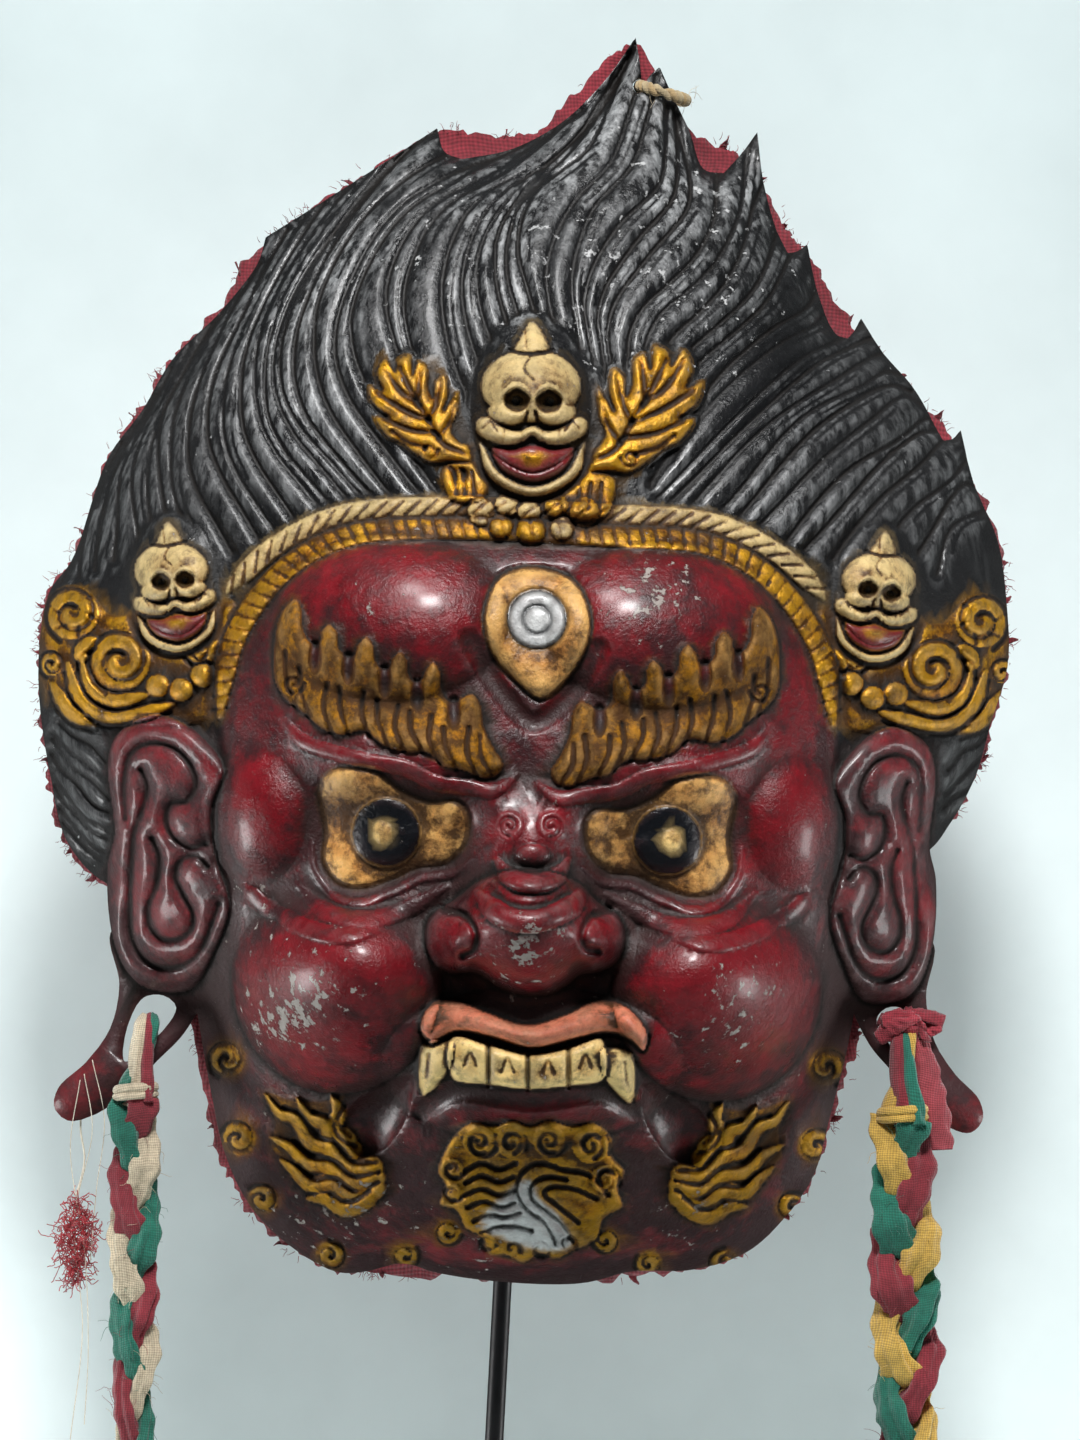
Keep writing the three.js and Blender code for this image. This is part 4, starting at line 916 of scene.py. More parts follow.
def carve_eye(pen):
    pen.groove(EYE + EYE[:1], 1.6, 0.5)
    pen.pillow(EYE, 6.5, 15, "cream", 0.8)
    with pen.layer():
        pen.ridge(LOWER_LID, 1.6, 1.3, 0.2)
        pen.ridge(BROW_FOLD, 2.6, 2.0, 0.2)
    pen.ball(PUPIL, (40, 40), -0.6, 1.0)
    pen.ball(PUPIL, (35, 35), 4.6, 0.5, "pupil")
    pen.ball(GLINT, (10, 12), 0.7, 0.6, "tooth")


def carve_brow(pen, fine):
    pen.pillow(BROW, 5, 4, "bronze", 0.6)
    pen.groove(pen.spiral(BROW_CURL, 11, 1.2), 1.0, 1.4 * fine)
    for line in BROW_LINES:
        pen.groove(line, 1.1, 1.4 * fine)
    for u, v in BROW_GAPS:
        pen.ball((u, v - 4), (8, 18), -3.4, 0.8)
        pen.ball((u, v - 7), (5, 14), 0, 0.8, "red")


def carve_jaw(pen, fine):
    """Fang, the flames beside it and the curls along the jaw."""
    pen.pillow(FANG, 6, 4, "tooth")
    pen.groove(FANG_LINE, 0.9, fine)
    pen.pillow(CORNER_LEAF, 1.2, 2, "bronze")
    with pen.layer():
        for flame in CORNER_FLAMES:
            pen.relief.flame(pen.line(flame), 13 * UNIT, 4.2, "gold")
    for flame in CORNER_FLAMES:
        pen.groove([(u + 5, v - 6) for u, v in flame[:-1]], 1.1, 1.5 * fine)
    for number, (centre, radius) in enumerate(JAW_CURLS):
        pen.ball(centre, (radius, radius), 0.7, 0.4, "gold")
        hook = pen.spiral(centre, 0.72 * radius, 1.1, 2.0 + 0.9 * number)
        pen.ridge(hook, 0.3 * radius * UNIT, 2.4, 0.3, "gold")
        pen.groove(pen.spiral(centre, 1.06 * radius, 0.9, 2.0 + 0.9 * number), 1.2, 1.4 * fine)


def carve_ear(pen):
    pen.pillow(EAR, 8, 7, "red")
    for line in EAR_LINES:
        pen.groove(line, 3.6, 1.6)
        pen.groove(line, 1.4, 1.6)


def carve_leaf(pen, fine):
    pen.clear(LEAF, 2)
    with pen.layer():
        pen.pillow(LEAF, 4.5, 3.6, "gold")
        pen.ball(LEAF_CURL, (12, 11), 5, 0.5, "gold")
        pen.pillow(LEAF_STUB, 3, 3, "gold")
    for line in LEAF_LINES:
        pen.groove(line, 1.3, 1.9 * fine)
    pen.groove(pen.spiral(LEAF_CURL, 8, 1.2), 1.0, 1.3 * fine)
    for u in (455, 464, 473):
        pen.groove([(u, 474), (u + 2, 496)], 0.8, fine)


def carve_ornament(pen, fine):
    """Scrolls, ribs and beads beside the small skulls."""
    pen.clear(SIDE_PLATE, 3)
    pen.pillow(SIDE_PLATE, 1.6, 4, "gold")
    with pen.layer():
        for centre, radius, thick in SIDE_SCROLLS:
            pen.ball(centre, (radius, radius), 2.2, 0.3, "gold")
            pen.ridge(pen.spiral(centre, radius - 0.6 * thick, 1.5, 2), thick * UNIT, 4, 0.35, "gold")
        for rib in SIDE_RIBS:
            pen.ridge(rib, 8 * UNIT, 3.4, 0.3, "gold")
        for u, v in SIDE_BEADS:
            pen.ball((u, v), (13, 12), 4.2, 0.4, "gold")
    for centre, radius, thick in SIDE_SCROLLS:
        pen.groove(pen.spiral(centre, radius + 0.5 * thick, 1.5, 2), 1.1, 1.7 * fine)
    for rib in SIDE_RIBS:
        pen.groove([(u - 3, v + 9) for u, v in rib], 1.0, 1.4 * fine)
    for petal in np.linspace(0, 2 * math.pi, 7)[:-1]:
        inner = np.array([math.cos(petal), math.sin(petal)]) * 14
        outer = np.array([math.cos(petal + 0.3), math.sin(petal + 0.3)]) * (25, 23)
        pen.groove([SIDE_FLOWER + inner, SIDE_FLOWER + outer], 0.8, fine)


def carve_diadem(pen, fine):
    """Rope over a flat band, with beads in the middle."""
    def across(points):
        return curve(list(reversed(points[1:])) + [right_side(p) for p in points[1:]], False, 1.0)

    rope = across(DIADEM_ROPE)
    band = across(DIADEM_BAND)
    for line in (rope, band):
        pen.relief.clear(line, 6)
    with pen.layer():
        pen.relief.ridge(rope, 11 * UNIT, 2.6, 0.1, "bone")
        pen.relief.ridge(band, 11.5 * UNIT, 3.4, 0.1, "gold")
    for stroke in cross_strokes(rope, 5.4, 3.2, 0.85):
        pen.relief.groove(stroke, 0.8, fine)
    for stroke in cross_strokes(band, 4.4, 2.8, -0.25):
        pen.relief.groove(stroke, 0.8, 0.7 * fine)
    with pen.layer():
        for u, v, reach, paint in DIADEM_BEADS:
            pen.ball((u, v), (reach, reach), 3.2, 0.4, paint)


def carve_nose(pen):
    """Bridge, rolls, bulb and wings, and the muzzle under them."""
    pen.relief.swell(curve(BRIDGE), 78 * UNIT, 12)
    with pen.layer():
        pen.pillow(NOSE, 17, 16, None, 0.55)
        pen.ball(MUZZLE, (150, 80), 19, 0.9)
    pen.ball(NOSE_BULB, (78, 56), 5, 0.7)
    for centre, line in NOSE_WINGS:
        pen.ball(centre, (31, 34), 3.5, 0.8)
        pen.groove(line, 1.8, 3.0)
    with pen.layer():
        pen.relief.ridge(curve(SADDLE), 12 * UNIT, 4, 0.25)
        pen.relief.ridge(curve(UPPER_ROLL), 10 * UNIT, 5, 0.3)
    pen.relief.groove(curve(SADDLE_GROOVE), 1.8, 1.6)
    pen.ball(NOSE_BEAD, (17, 11), 2.6)
    for centre, hand in BRIDGE_CURLS:
        pen.ball(centre, (15, 15), 1.4, 0.5)
        pen.groove(pen.spiral(centre, 11, 1.2, 1.6, hand), 1.0, 1.2)


def carve_third_eye(pen):
    """Third eye with its rings, over the fold between the brows."""
    pen.relief.groove(curve(FROWN), 4, 2.4)
    pen.pillow(THIRD_EYE, 4.5, 6, "cream", 0.7)
    pen.relief.groove(pen.line(THIRD_EYE, True), 1.2, 0.8)
    pen.ball(THIRD_EYE_AT, (31, 31), 1.4, 0.3, "silver")
    turn = np.linspace(0, 2 * math.pi, 25)
    for radius, width in ((29, 1.1), (14, 0.8)):
        ring = THIRD_EYE_AT + radius * np.stack([np.cos(turn), np.sin(turn)], axis=1)
        pen.groove(ring, width, 1.2, "pupil")


def carve_mouth(pen):
    """Lip, teeth and the line of the lower lip."""
    pen.pillow(TEETH, 7, 3, "tooth")
    pen.pillow(LIP, 9, 5, "lip")
    pen.groove(LIP[9:], 1.2, 1.6)
    for u, top, low in TOOTH_GAPS:
        pen.relief.groove(curve([(u, top), (u, low)], False, 0.8), 1.0, 2.4, "pupil")
    for u, v in TOOTH_MARKS:
        pen.relief.groove(curve([(u - 6, v + 5), (u, v - 8), (u + 6, v + 5)], False, 0.8), 0.8, 0.8)
    pen.relief.groove(curve(MOUTH_LINE), 4, 3)


def carve_chin(pen, fine):
    """Chin and the curled beard on it."""
    pen.ball(CHIN, (230, 130), 13, 1.2)
    pen.pillow(BEARD, 3.6, 3, "gold")
    pen.relief.fill(pen.line(BEARD_WHITE, True), "silver")
    for centre, radius, hand in BEARD_CURLS:
        pen.ball(centre, (1.1 * radius, 1.1 * radius), 1.8, 0.4)
        pen.groove(pen.spiral(centre, 0.8 * radius, 1.3, 1.2, hand), 1.2, 2 * fine)
        pen.groove(pen.spiral(centre, 1.2 * radius, 0.6, 0.4, hand), 1.2, 1.6 * fine)
    for line in BEARD_WAVES + BEARD_SWIRL:
        pen.groove(line, 1.1, 2 * fine)


def between(lines, pitch, rng):
    """Lines about a pitch apart that follow their guides and waver a little between them."""
    t = np.linspace(0, 1, 13)
    evened = []
    for line in lines:
        pts = spline(line, False, 4.0)
        evened.append(np.stack([np.interp(t, np.linspace(0, 1, len(pts)), pts[:, k]) for k in (0, 1)], 1))
    for a, b in zip(evened, evened[1:]):
        count = max(2, int(round(np.linalg.norm(b - a, axis=1).mean() / pitch)))
        for k in range(count):
            wave = np.sin(2 * math.pi * (rng.uniform(0.8, 1.8) * t + rng.uniform()))
            share = (k + rng.uniform(-0.2, 0.2) + 0.16 * wave) / count
            yield a + (b - a) * share[:, None]


def carve_hair(relief, depth):
    """Rounded strands parted by narrow grooves, with fine hairlines on them."""
    rng = np.random.default_rng(5)

    def part(line):
        strength = depth * rng.uniform(0.45, 0.8)
        relief.groove(line, 2.9, strength)
        relief.groove(line, 1.1, strength)

    for line in between(STRANDS, STRAND_PITCH, rng):
        part(curve(line, False, 2.0))
        first = rng.integers(0, 7)
        hairline = line[first:first + 6] + STRAND_PITCH * np.array([0.42, 0.12])
        relief.groove(curve(hairline, False, 2.0), 0.9, 0.3 * depth)
    for side in (left_side, right_side):
        for line in between(SIDE_STRANDS, 0.7 * STRAND_PITCH, rng):
            part(curve([side(p) for p in line], False, 2.0))


def string_hole(grid):
    """Distance from the edge of the hole that the string passes through."""
    x, h = place(STRING["at"])
    return np.hypot(grid.x[None, :] - x, grid.h[:, None] - h) - STRING["hole"]


def mask_plan(grid):
    """Where the mask is, positive inside, with the lobes and their slits."""
    def both(outline, reach=8.0):
        left, right = (
            grid.insideness(curve([side(p) for p in outline], True), reach)
            for side in (left_side, right_ear_side)
        )
        return np.maximum(left, right)

    dome = np.maximum(grid.insideness(cornered(HEAD_RUNS)), both(EAR))
    lobe = both(LOBE, 16)
    plan = np.minimum(np.maximum(dome, lobe), np.minimum(-both(SLIT), string_hole(grid)))
    return plan, dome, lobe


class MaskForm:
    """Everything worked out about the mask's surface, kept for the pieces that touch it."""

    def __init__(self, settings):
        coarse = Grid(COARSE_STEP)
        fine = Grid(FINE_STEP)
        _, dome, lobe = mask_plan(coarse)
        face = coarse.insideness(curve(FACE, True))
        depth = RIM_DEPTH + HEAD_DEPTH * inflate(coarse, dome > 0, 0.62)
        depth += FACE_DEPTH * inflate(coarse, face > 0, 0.34)
        depth = np.where(lobe > -LOBE_APRON, np.maximum(depth, LOBE_DEPTH), depth)
        self.grid = fine
        self.coarse = coarse
        self.plan = mask_plan(fine)[0]
        relief = Relief(fine, coarse.finer(coarse.blur(depth, 3), fine))
        self.first_coat(relief)
        self.carve(relief, settings.strand_depth, settings.stroke_depth)
        self.surface = relief.depth.copy()
        for side in (left_side, right_side):
            Pen(relief, side).pillow(HOLLOW, -7, 10)
        self.depth = relief.depth
        self.paint = relief.paint
        self.inner = self.inward(WALL + 1)

    def first_coat(self, relief):
        relief.paint[:] = PAINTS.index("hair")
        below = self.grid.h[:, None] < place((0, JAW_TOP))[1]
        relief.paint[np.broadcast_to(below, relief.paint.shape)] = PAINTS.index("red")
        relief.fill(curve(FACE, True), "red")
        for side in (left_side, right_ear_side):
            relief.fill(curve([side(p) for p in LOBE], True), "red")

    def carve(self, relief, strand, stroke):
        middle = Pen(relief, left_side)
        carve_hair(relief, strand)
        for side in (left_side, right_side):
            carve_ornament(Pen(relief, side), stroke)
        carve_diadem(middle, stroke)
        for side, ear_side, leaf_side in (
            (left_side, left_side, left_side), (right_side, right_ear_side, right_leaf_side),
        ):
            pen = Pen(relief, side)
            carve_cheek(pen)
            carve_eye(pen)
            carve_brow(pen, stroke)
            carve_jaw(pen, stroke)
            carve_ear(Pen(relief, ear_side))
            carve_leaf(Pen(relief, leaf_side), stroke)
        carve_nose(middle)
        carve_third_eye(middle)
        carve_mouth(middle)
        carve_chin(middle, stroke)
        for skull in SKULLS:
            carve_skull(relief, *skull, stroke)

    def inward(self, distance):
        """Face behind the front by a distance, smoothed, on the fine grid."""
        front = self.depth[::STRIDE, ::STRIDE]
        lowest = front - distance
        reach = int(math.ceil(distance / COARSE_STEP))
        for r in range(-reach, reach + 1):
            for c in range(-reach, reach + 1):
                gap = distance ** 2 - (r * r + c * c) * COARSE_STEP ** 2
                if gap > 0:
                    lowest = np.minimum(lowest, np.roll(front, (r, c), (0, 1)) - math.sqrt(gap))
        return self.coarse.finer(self.coarse.blur(lowest, 4.5), self.grid)

    def colours(self, paints):
        table = np.array([list(getattr(paints, name)) for name in PAINTS])
        rgb = table[self.paint]
        return np.stack([self.grid.blur(rgb[..., k], 0.5, 1) for k in range(3)], axis=-1)

    def gloss(self):
        return self.grid.blur(np.array([GLOSS[name] for name in PAINTS])[self.paint], 0.5, 1)

    def share(self, *names):
        """Where any of these paints lies, softened at its edge."""
        where = np.isin(self.paint, [PAINTS.index(name) for name in names])
        return self.grid.blur(where.astype(float), 0.5, 1)

    def proud(self, radius):
        """Height over the surroundings, apart from the open corners of the mouth."""
        return self.surface - self.grid.blur(self.surface, radius)

    def aside(self):
        """How far out to the ears, or down to the chin, a point lies."""
        x = np.abs(self.grid.x[None, :] - SOOT_SHADE_MIDDLE)
        h = self.grid.h[:, None]
        return np.clip(np.maximum((x - SOOT_SHADE_OUT) / SOOT_SHADE_FADE, (SOOT_SHADE_LOW - h) / SOOT_SHADE_FADE), 0, 1)

    def worn(self):
        field = np.zeros(self.grid.shape)
        for centre, reach, strength in WORN_SPOTS:
            x, h = place(centre)
            r = ((self.grid.x[None, :] - x) ** 2 + (self.grid.h[:, None] - h) ** 2) / (reach * UNIT) ** 2
            field += strength * np.exp(-r)
        return field

    def fields(self, paints):
        """What the finish needs to know at each point of the front."""
        line, close, wide = (self.proud(radius) for radius in (1.2, 3.0, 9.0))
        open_paint = 1 - self.share("pupil")
        return {
            "paint": self.colours(paints), "gloss": self.gloss(), "worn": self.worn() * open_paint,
            "black": self.share("hair"), "red": self.share("red"),
            "gild": self.share("gold", "bronze", "bone", "cream", "tooth", "lip"),
            "metal": self.share("gold", "bronze"),
            # crease and hollow darken narrow and broad hollows with dirt and dust, and with painted shade
            "crease": open_paint * np.clip(-line / 1.0, 0, 1),
            "hollow": open_paint * (0.6 * np.clip(-close / 1.6, 0, 1) + 0.4 * np.clip(-wide / 4, 0, 1)),
            "high": np.clip(0.6 * line / 0.5 + 0.4 * close / 2, 0, 1),
            "bulge": np.clip(0.5 + wide / 7, 0, 1),
            # Soot and painted shade: darker, duller paint out by the ears and low on the chin, and the
            # darkened gold
            "soot": self.share("red", "hair") * self.aside() + self.share("bronze"),
        }


def clip_to_plan(grid, plan):
    """Triangles of the grid cut off at the plan's edge: vertex sources and shares, then faces."""
    rows, cols = grid.shape
    ids = np.arange(rows * cols).reshape(rows, cols)
    a, b, d, e = ids[:-1, :-1], ids[:-1, 1:], ids[1:, :-1], ids[1:, 1:]
    even = (np.add.outer(np.arange(rows - 1), np.arange(cols - 1)) % 2 == 0)[..., None]
    first = np.where(even, np.stack([a, b, e], -1), np.stack([a, b, d], -1)).reshape(-1, 3)
    second = np.where(even, np.stack([a, e, d], -1), np.stack([b, e, d], -1)).reshape(-1, 3)
    triangles = np.vstack([first, second])
    flat = plan.ravel()
    inside = flat > 0
    count = inside[triangles].sum(axis=1)
    whole = triangles[count == 3]
    total = rows * cols

    def turned(mixed, wanted):
        lead = np.argmax(inside[mixed] == wanted, axis=1)
        return np.take_along_axis(mixed, (lead[:, None] + np.arange(3)) % 3, axis=1)

    def edge(p, q):
        return np.minimum(p, q).astype(np.int64) * total + np.maximum(p, q) + total

    one = turned(triangles[count == 1], True)
    two = turned(triangles[count == 2], False)
    faces = np.vstack([
        whole,
        np.stack([one[:, 0], edge(one[:, 0], one[:, 1]), edge(one[:, 0], one[:, 2])], 1),
        np.stack([edge(two[:, 0], two[:, 1]), two[:, 1], two[:, 2]], 1),
        np.stack([edge(two[:, 0], two[:, 1]), two[:, 2], edge(two[:, 0], two[:, 2])], 1),
    ])
    keys, faces = np.unique(faces, return_inverse=True)
    faces = faces.reshape(-1, 3)
    cut = keys >= total
    start = np.where(cut, (keys - total) // total, keys)
    finish = np.where(cut, (keys - total) % total, keys)
    share = np.where(cut, flat[start] / np.where(cut, flat[start] - flat[finish], 1), 0)
    return start, finish, np.clip(share, 0, 1), faces


def shell_mesh(grid, plan, front, back):
    """Closed shell between two depth fields; also a reader for any other field of the grid."""
    start, finish, share, faces = clip_to_plan(grid, plan)

    def read(field):
        flat = field.reshape(-1, *field.shape[2:])
        weight = share if flat.ndim == 1 else share[:, None]
        return flat[start] * (1 - weight) + flat[finish] * weight

    x, h = np.meshgrid(grid.x, grid.h)
    x = read(x) + MASK_X
    z = read(h) + CHIN_HEIGHT
    count = len(x)
    near = np.stack([x, RIM_Y - read(front), z], 1)
    far = np.stack([x, RIM_Y - read(back), z], 1)
    edges = np.vstack([faces[:, [0, 1]], faces[:, [1, 2]], faces[:, [2, 0]]]).astype(np.int64)
    code = edges[:, 0] * count + edges[:, 1]
    rim = edges[~np.isin(code, edges[:, 1] * count + edges[:, 0])]
    walls = np.vstack([
        np.stack([rim[:, 1], rim[:, 0], rim[:, 0] + count], 1),
        np.stack([rim[:, 1], rim[:, 0] + count, rim[:, 1] + count], 1),
    ])
    everything = np.vstack([faces, faces[:, ::-1] + count, walls])
    return np.vstack([near, far]) * MM, everything, read


def new_piece(name, vertices, faces):
    mesh = bpy.data.meshes.new(name)
    vertices = np.asarray(vertices, dtype=np.float32)
    faces = np.asarray(faces, dtype=np.int32)
    sides = faces.shape[1]
    mesh.vertices.add(len(vertices))
    mesh.vertices.foreach_set("co", vertices.ravel())
    mesh.loops.add(faces.size)
    mesh.loops.foreach_set("vertex_index", faces.ravel())
    mesh.polygons.add(len(faces))
    mesh.polygons.foreach_set("loop_start", np.arange(0, faces.size, sides, dtype=np.int32))
    mesh.polygons.foreach_set("use_smooth", np.full(len(faces), True))
    mesh.update(calc_edges=True)
    mesh.validate()
    piece = bpy.data.objects.new(name, mesh)
    bpy.context.scene.collection.objects.link(piece)
    return piece


def give_values(piece, name, values):
    values = np.asarray(values, dtype=np.float32)
    kind = "FLOAT" if values.ndim == 1 else "FLOAT_COLOR"
    if values.ndim == 2:
        values = np.hstack([values, np.ones((len(values), 1), dtype=np.float32)])
    layer = piece.data.attributes.new(name, kind, "POINT")
    layer.data.foreach_set("value" if kind == "FLOAT" else "color", values.ravel())


def settle(piece, kind, **settings):
    """Puts the result of a modifier into the piece's mesh."""
    modifier = piece.modifiers.new("made", kind)
    for key, value in settings.items():
        setattr(modifier, key, value)
    graph = bpy.context.evaluated_depsgraph_get()
    made = bpy.data.meshes.new_from_object(piece.evaluated_get(graph), depsgraph=graph)
    old = piece.data
    piece.modifiers.clear()
    piece.data = made
    made.name = piece.name
    bpy.data.meshes.remove(old)


def finish_piece(piece, material, nodes):
    piece.data.materials.append(material)
    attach(piece, "root")
    if nodes:
        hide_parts(*nodes)


# Tubes, strips and fibres
def frames_along(pts, closed):
    """Two directions across a line at each of its points, carried along it without twist."""
    if closed:
        tangents = np.roll(pts, -1, 0) - np.roll(pts, 1, 0)
    else:
        tangents = np.gradient(pts, axis=0)
    tangents /= np.maximum(np.linalg.norm(tangents, axis=1, keepdims=True), 1e-9)
    normal = np.cross(tangents[0], (0.31, -0.87, 0.4))
    normal /= np.linalg.norm(normal)
    normals = []
    for tangent in tangents:
        normal = normal - tangent * normal.dot(tangent)
        normal /= np.linalg.norm(normal)
        normals.append(normal)
    normals = np.array(normals)
    return normals, np.cross(tangents, normals)


def tube(points, radius, sides=8, closed=False, flat=1.0, twist=0.0, folds=0.0, seed=0):
    """Tube of quads along points given in millimetres. Flat squeezes it, folds pleat it lengthwise."""
    pts = np.asarray(points, dtype=float) * MM
    count = len(pts)
    normals, crosses = frames_along(pts, closed)
    radius = np.broadcast_to(np.asarray(radius, dtype=float) * MM, (count,))
    s = np.linspace(0, 1, count)
    theta = (2 * math.pi * np.arange(sides) / sides)[None, :]
    phase = np.random.default_rng(seed).uniform(0, 6.28, 4)
    turn = twist * s[:, None]
    pleat = 1 + folds * (
        0.55 * np.sin(4 * theta + phase[0] + 5 * np.sin(7 * s[:, None] + phase[1]))
        + 0.45 * np.sin(7 * theta + phase[2] - 9 * s[:, None])
        + 0.30 * np.sin(34 * s[:, None] + 2 * theta + phase[3])
    )
    a = radius[:, None] * np.cos(theta) * pleat
    b = radius[:, None] * np.sin(theta) * pleat * flat
    u = a * np.cos(turn) - b * np.sin(turn)
    v = a * np.sin(turn) + b * np.cos(turn)
    rings = pts[:, None, :] + u[..., None] * normals[:, None, :] + v[..., None] * crosses[:, None, :]
    vertices = rings.reshape(-1, 3)
    spans = count if closed else count - 1
    ring = np.arange(sides)
    after = (ring + 1) % sides
    here = np.arange(spans)[:, None] * sides
    following = (np.arange(spans)[:, None] + 1) % count * sides
    corners = [here + ring, here + after, following + after, following + ring]
    faces = np.stack(corners, -1).reshape(-1, 4)
    if closed:
        return vertices, faces, np.zeros((0, 3), dtype=int)
    first = len(vertices)
    last = (count - 1) * sides
    return np.vstack([vertices, pts[:1], pts[-1:]]), faces, end_caps(ring, after, first, last)


def end_caps(ring, after, first, last):
    """Fans that close both ends of a stack of rings, about the points first and first + 1."""
    low = np.stack([np.full(len(ring), first), after, ring], 1)
    high = np.stack([np.full(len(ring), first + 1), last + ring, last + after], 1)
    return np.vstack([low, high])


class Bundle:
    """Collects tubes into one mesh, each with its own dye."""

    def __init__(self):
        self.vertices = []
        self.triangles = []
        self.dyes = []
        self.count = 0

    def add(self, made, dye):
        vertices, quads, caps = made
        split = np.vstack([quads[:, [0, 1, 2]], quads[:, [0, 2, 3]], caps]) + self.count
        self.vertices.append(vertices)
        self.triangles.append(split)
        self.dyes.append(np.tile(np.asarray(dye, dtype=float)[:3], (len(vertices), 1)))
        self.count += len(vertices)

    def piece(self, name):
        made = new_piece(name, np.vstack(self.vertices), np.vstack(self.triangles))
        give_values(made, "dye", np.vstack(self.dyes))
        return made


def wander(start, heading, length, steps, curl, rng, droop=0.0):
    """Path of a loose fibre."""
    points = [np.asarray(start, dtype=float)]
    heading = np.asarray(heading, dtype=float)
    heading /= np.linalg.norm(heading)
    for _ in range(steps):
        heading = heading + rng.normal(0, curl, 3) + np.array([0, 0, -droop])
        heading /= np.linalg.norm(heading)
        points.append(points[-1] + heading * length / steps)
    return np.array(points)


# Materials
COLOUR = "NodeSocketColor"
VALUE = "NodeSocketFloat"


class Graph:
    """Adds nodes to a tree: an input given as a socket is linked, any other is set."""

    def __init__(self, tree):
        self.tree = tree

    def feed(self, node, inputs):
        for key, value in inputs.items():
            if isinstance(value, bpy.types.NodeSocket):
                self.tree.links.new(value, node.inputs[key])
            else:
                node.inputs[key].default_value = value

    def add(self, kind, inputs=None, **settings):
        node = self.tree.nodes.new(kind)
        for key, value in settings.items():
            setattr(node, key, value)
        self.feed(node, inputs or {})
        return node

    def math(self, operation, a, b, clamp=False):
        return self.add("ShaderNodeMath", {0: a, 1: b}, operation=operation, use_clamp=clamp).outputs[0]

    def times(self, a, b):
        return self.math("MULTIPLY", a, b)

    def minus(self, a, b, clamp=False):
        return self.math("SUBTRACT", a, b, clamp)

    def plus(self, total, *others):
        for other in others:
            total = self.math("ADD", total, other)
        return total

    def mix(self, factor, a, b, blend="MIX"):
        node = self.add("ShaderNodeMix", {0: factor, 6: a, 7: b}, data_type="RGBA", blend_type=blend)
        return node.outputs[2]

    def shaded(self, colour, shade):
        grey = self.add("ShaderNodeCombineColor", {0: shade, 1: shade, 2: shade}).outputs[0]
        return self.mix(1.0, colour, grey, "MULTIPLY")

    def spread(self, value, low, high, to_low=0.0, to_high=1.0):
        inputs = {"Value": value, "From Min": low, "From Max": high, "To Min": to_low, "To Max": to_high}
        return self.add("ShaderNodeMapRange", inputs).outputs[0]

    def noise(self, vector, scale, detail=4.0, rough=0.55):
        inputs = {"Vector": vector, "Scale": scale, "Detail": detail, "Roughness": rough}
        return self.add("ShaderNodeTexNoise", inputs).outputs["Fac"]

    def bump(self, height, strength, distance):
        inputs = {"Height": height, "Strength": strength, "Distance": distance}
        return self.add("ShaderNodeBump", inputs).outputs["Normal"]

    def point(self):
        return self.add("ShaderNodeTexCoord").outputs["Object"]

    def value(self, name, output="Fac"):
        return self.add("ShaderNodeAttribute", attribute_name=name).outputs[output]

    def group(self, name, inputs):
        """Places a shared group and gives its outputs."""
        makers = {
            "Uneven colour": mottle_group, "Grime and wear": grime_group, "Woven threads": weave_group,
        }
        shared = bpy.data.node_groups.get(name) or makers[name](name)
        return self.add("ShaderNodeGroup", inputs, node_tree=shared).outputs


def rgba(*colour):
    return (*colour, 1.0)


def new_group(name, inputs, outputs):
    tree = bpy.data.node_groups.new(name, "ShaderNodeTree")
    for way, sockets in (("INPUT", inputs), ("OUTPUT", outputs)):
        for label, kind in sockets.items():
            tree.interface.new_socket(label, in_out=way, socket_type=kind)
    entry = tree.nodes.new("NodeGroupInput")
    return Graph(tree), entry.outputs, tree.nodes.new("NodeGroupOutput")


def mottle_group(name):
    """Uneven colour of a hand-painted or dyed surface."""
    g, given, leave = new_group(
        name, {"Colour": COLOUR, "Scale": VALUE, "Strength": VALUE}, {"Colour": COLOUR, "Mask": VALUE},
    )
    point = g.point()
    broad = g.noise(point, given["Scale"], 6.0, 0.62)
    small = g.noise(point, g.times(given["Scale"], 6.5), 5.0, 0.6)
    mask = g.spread(g.plus(g.times(broad, 0.6), g.times(small, 0.4)), 0.34, 0.66)
    shade = g.spread(mask, 0.0, 1.0, g.minus(1.0, given["Strength"]), 1.25)
    g.feed(leave, {"Colour": g.shaded(given["Colour"], shade), "Mask": mask})
    return g.tree


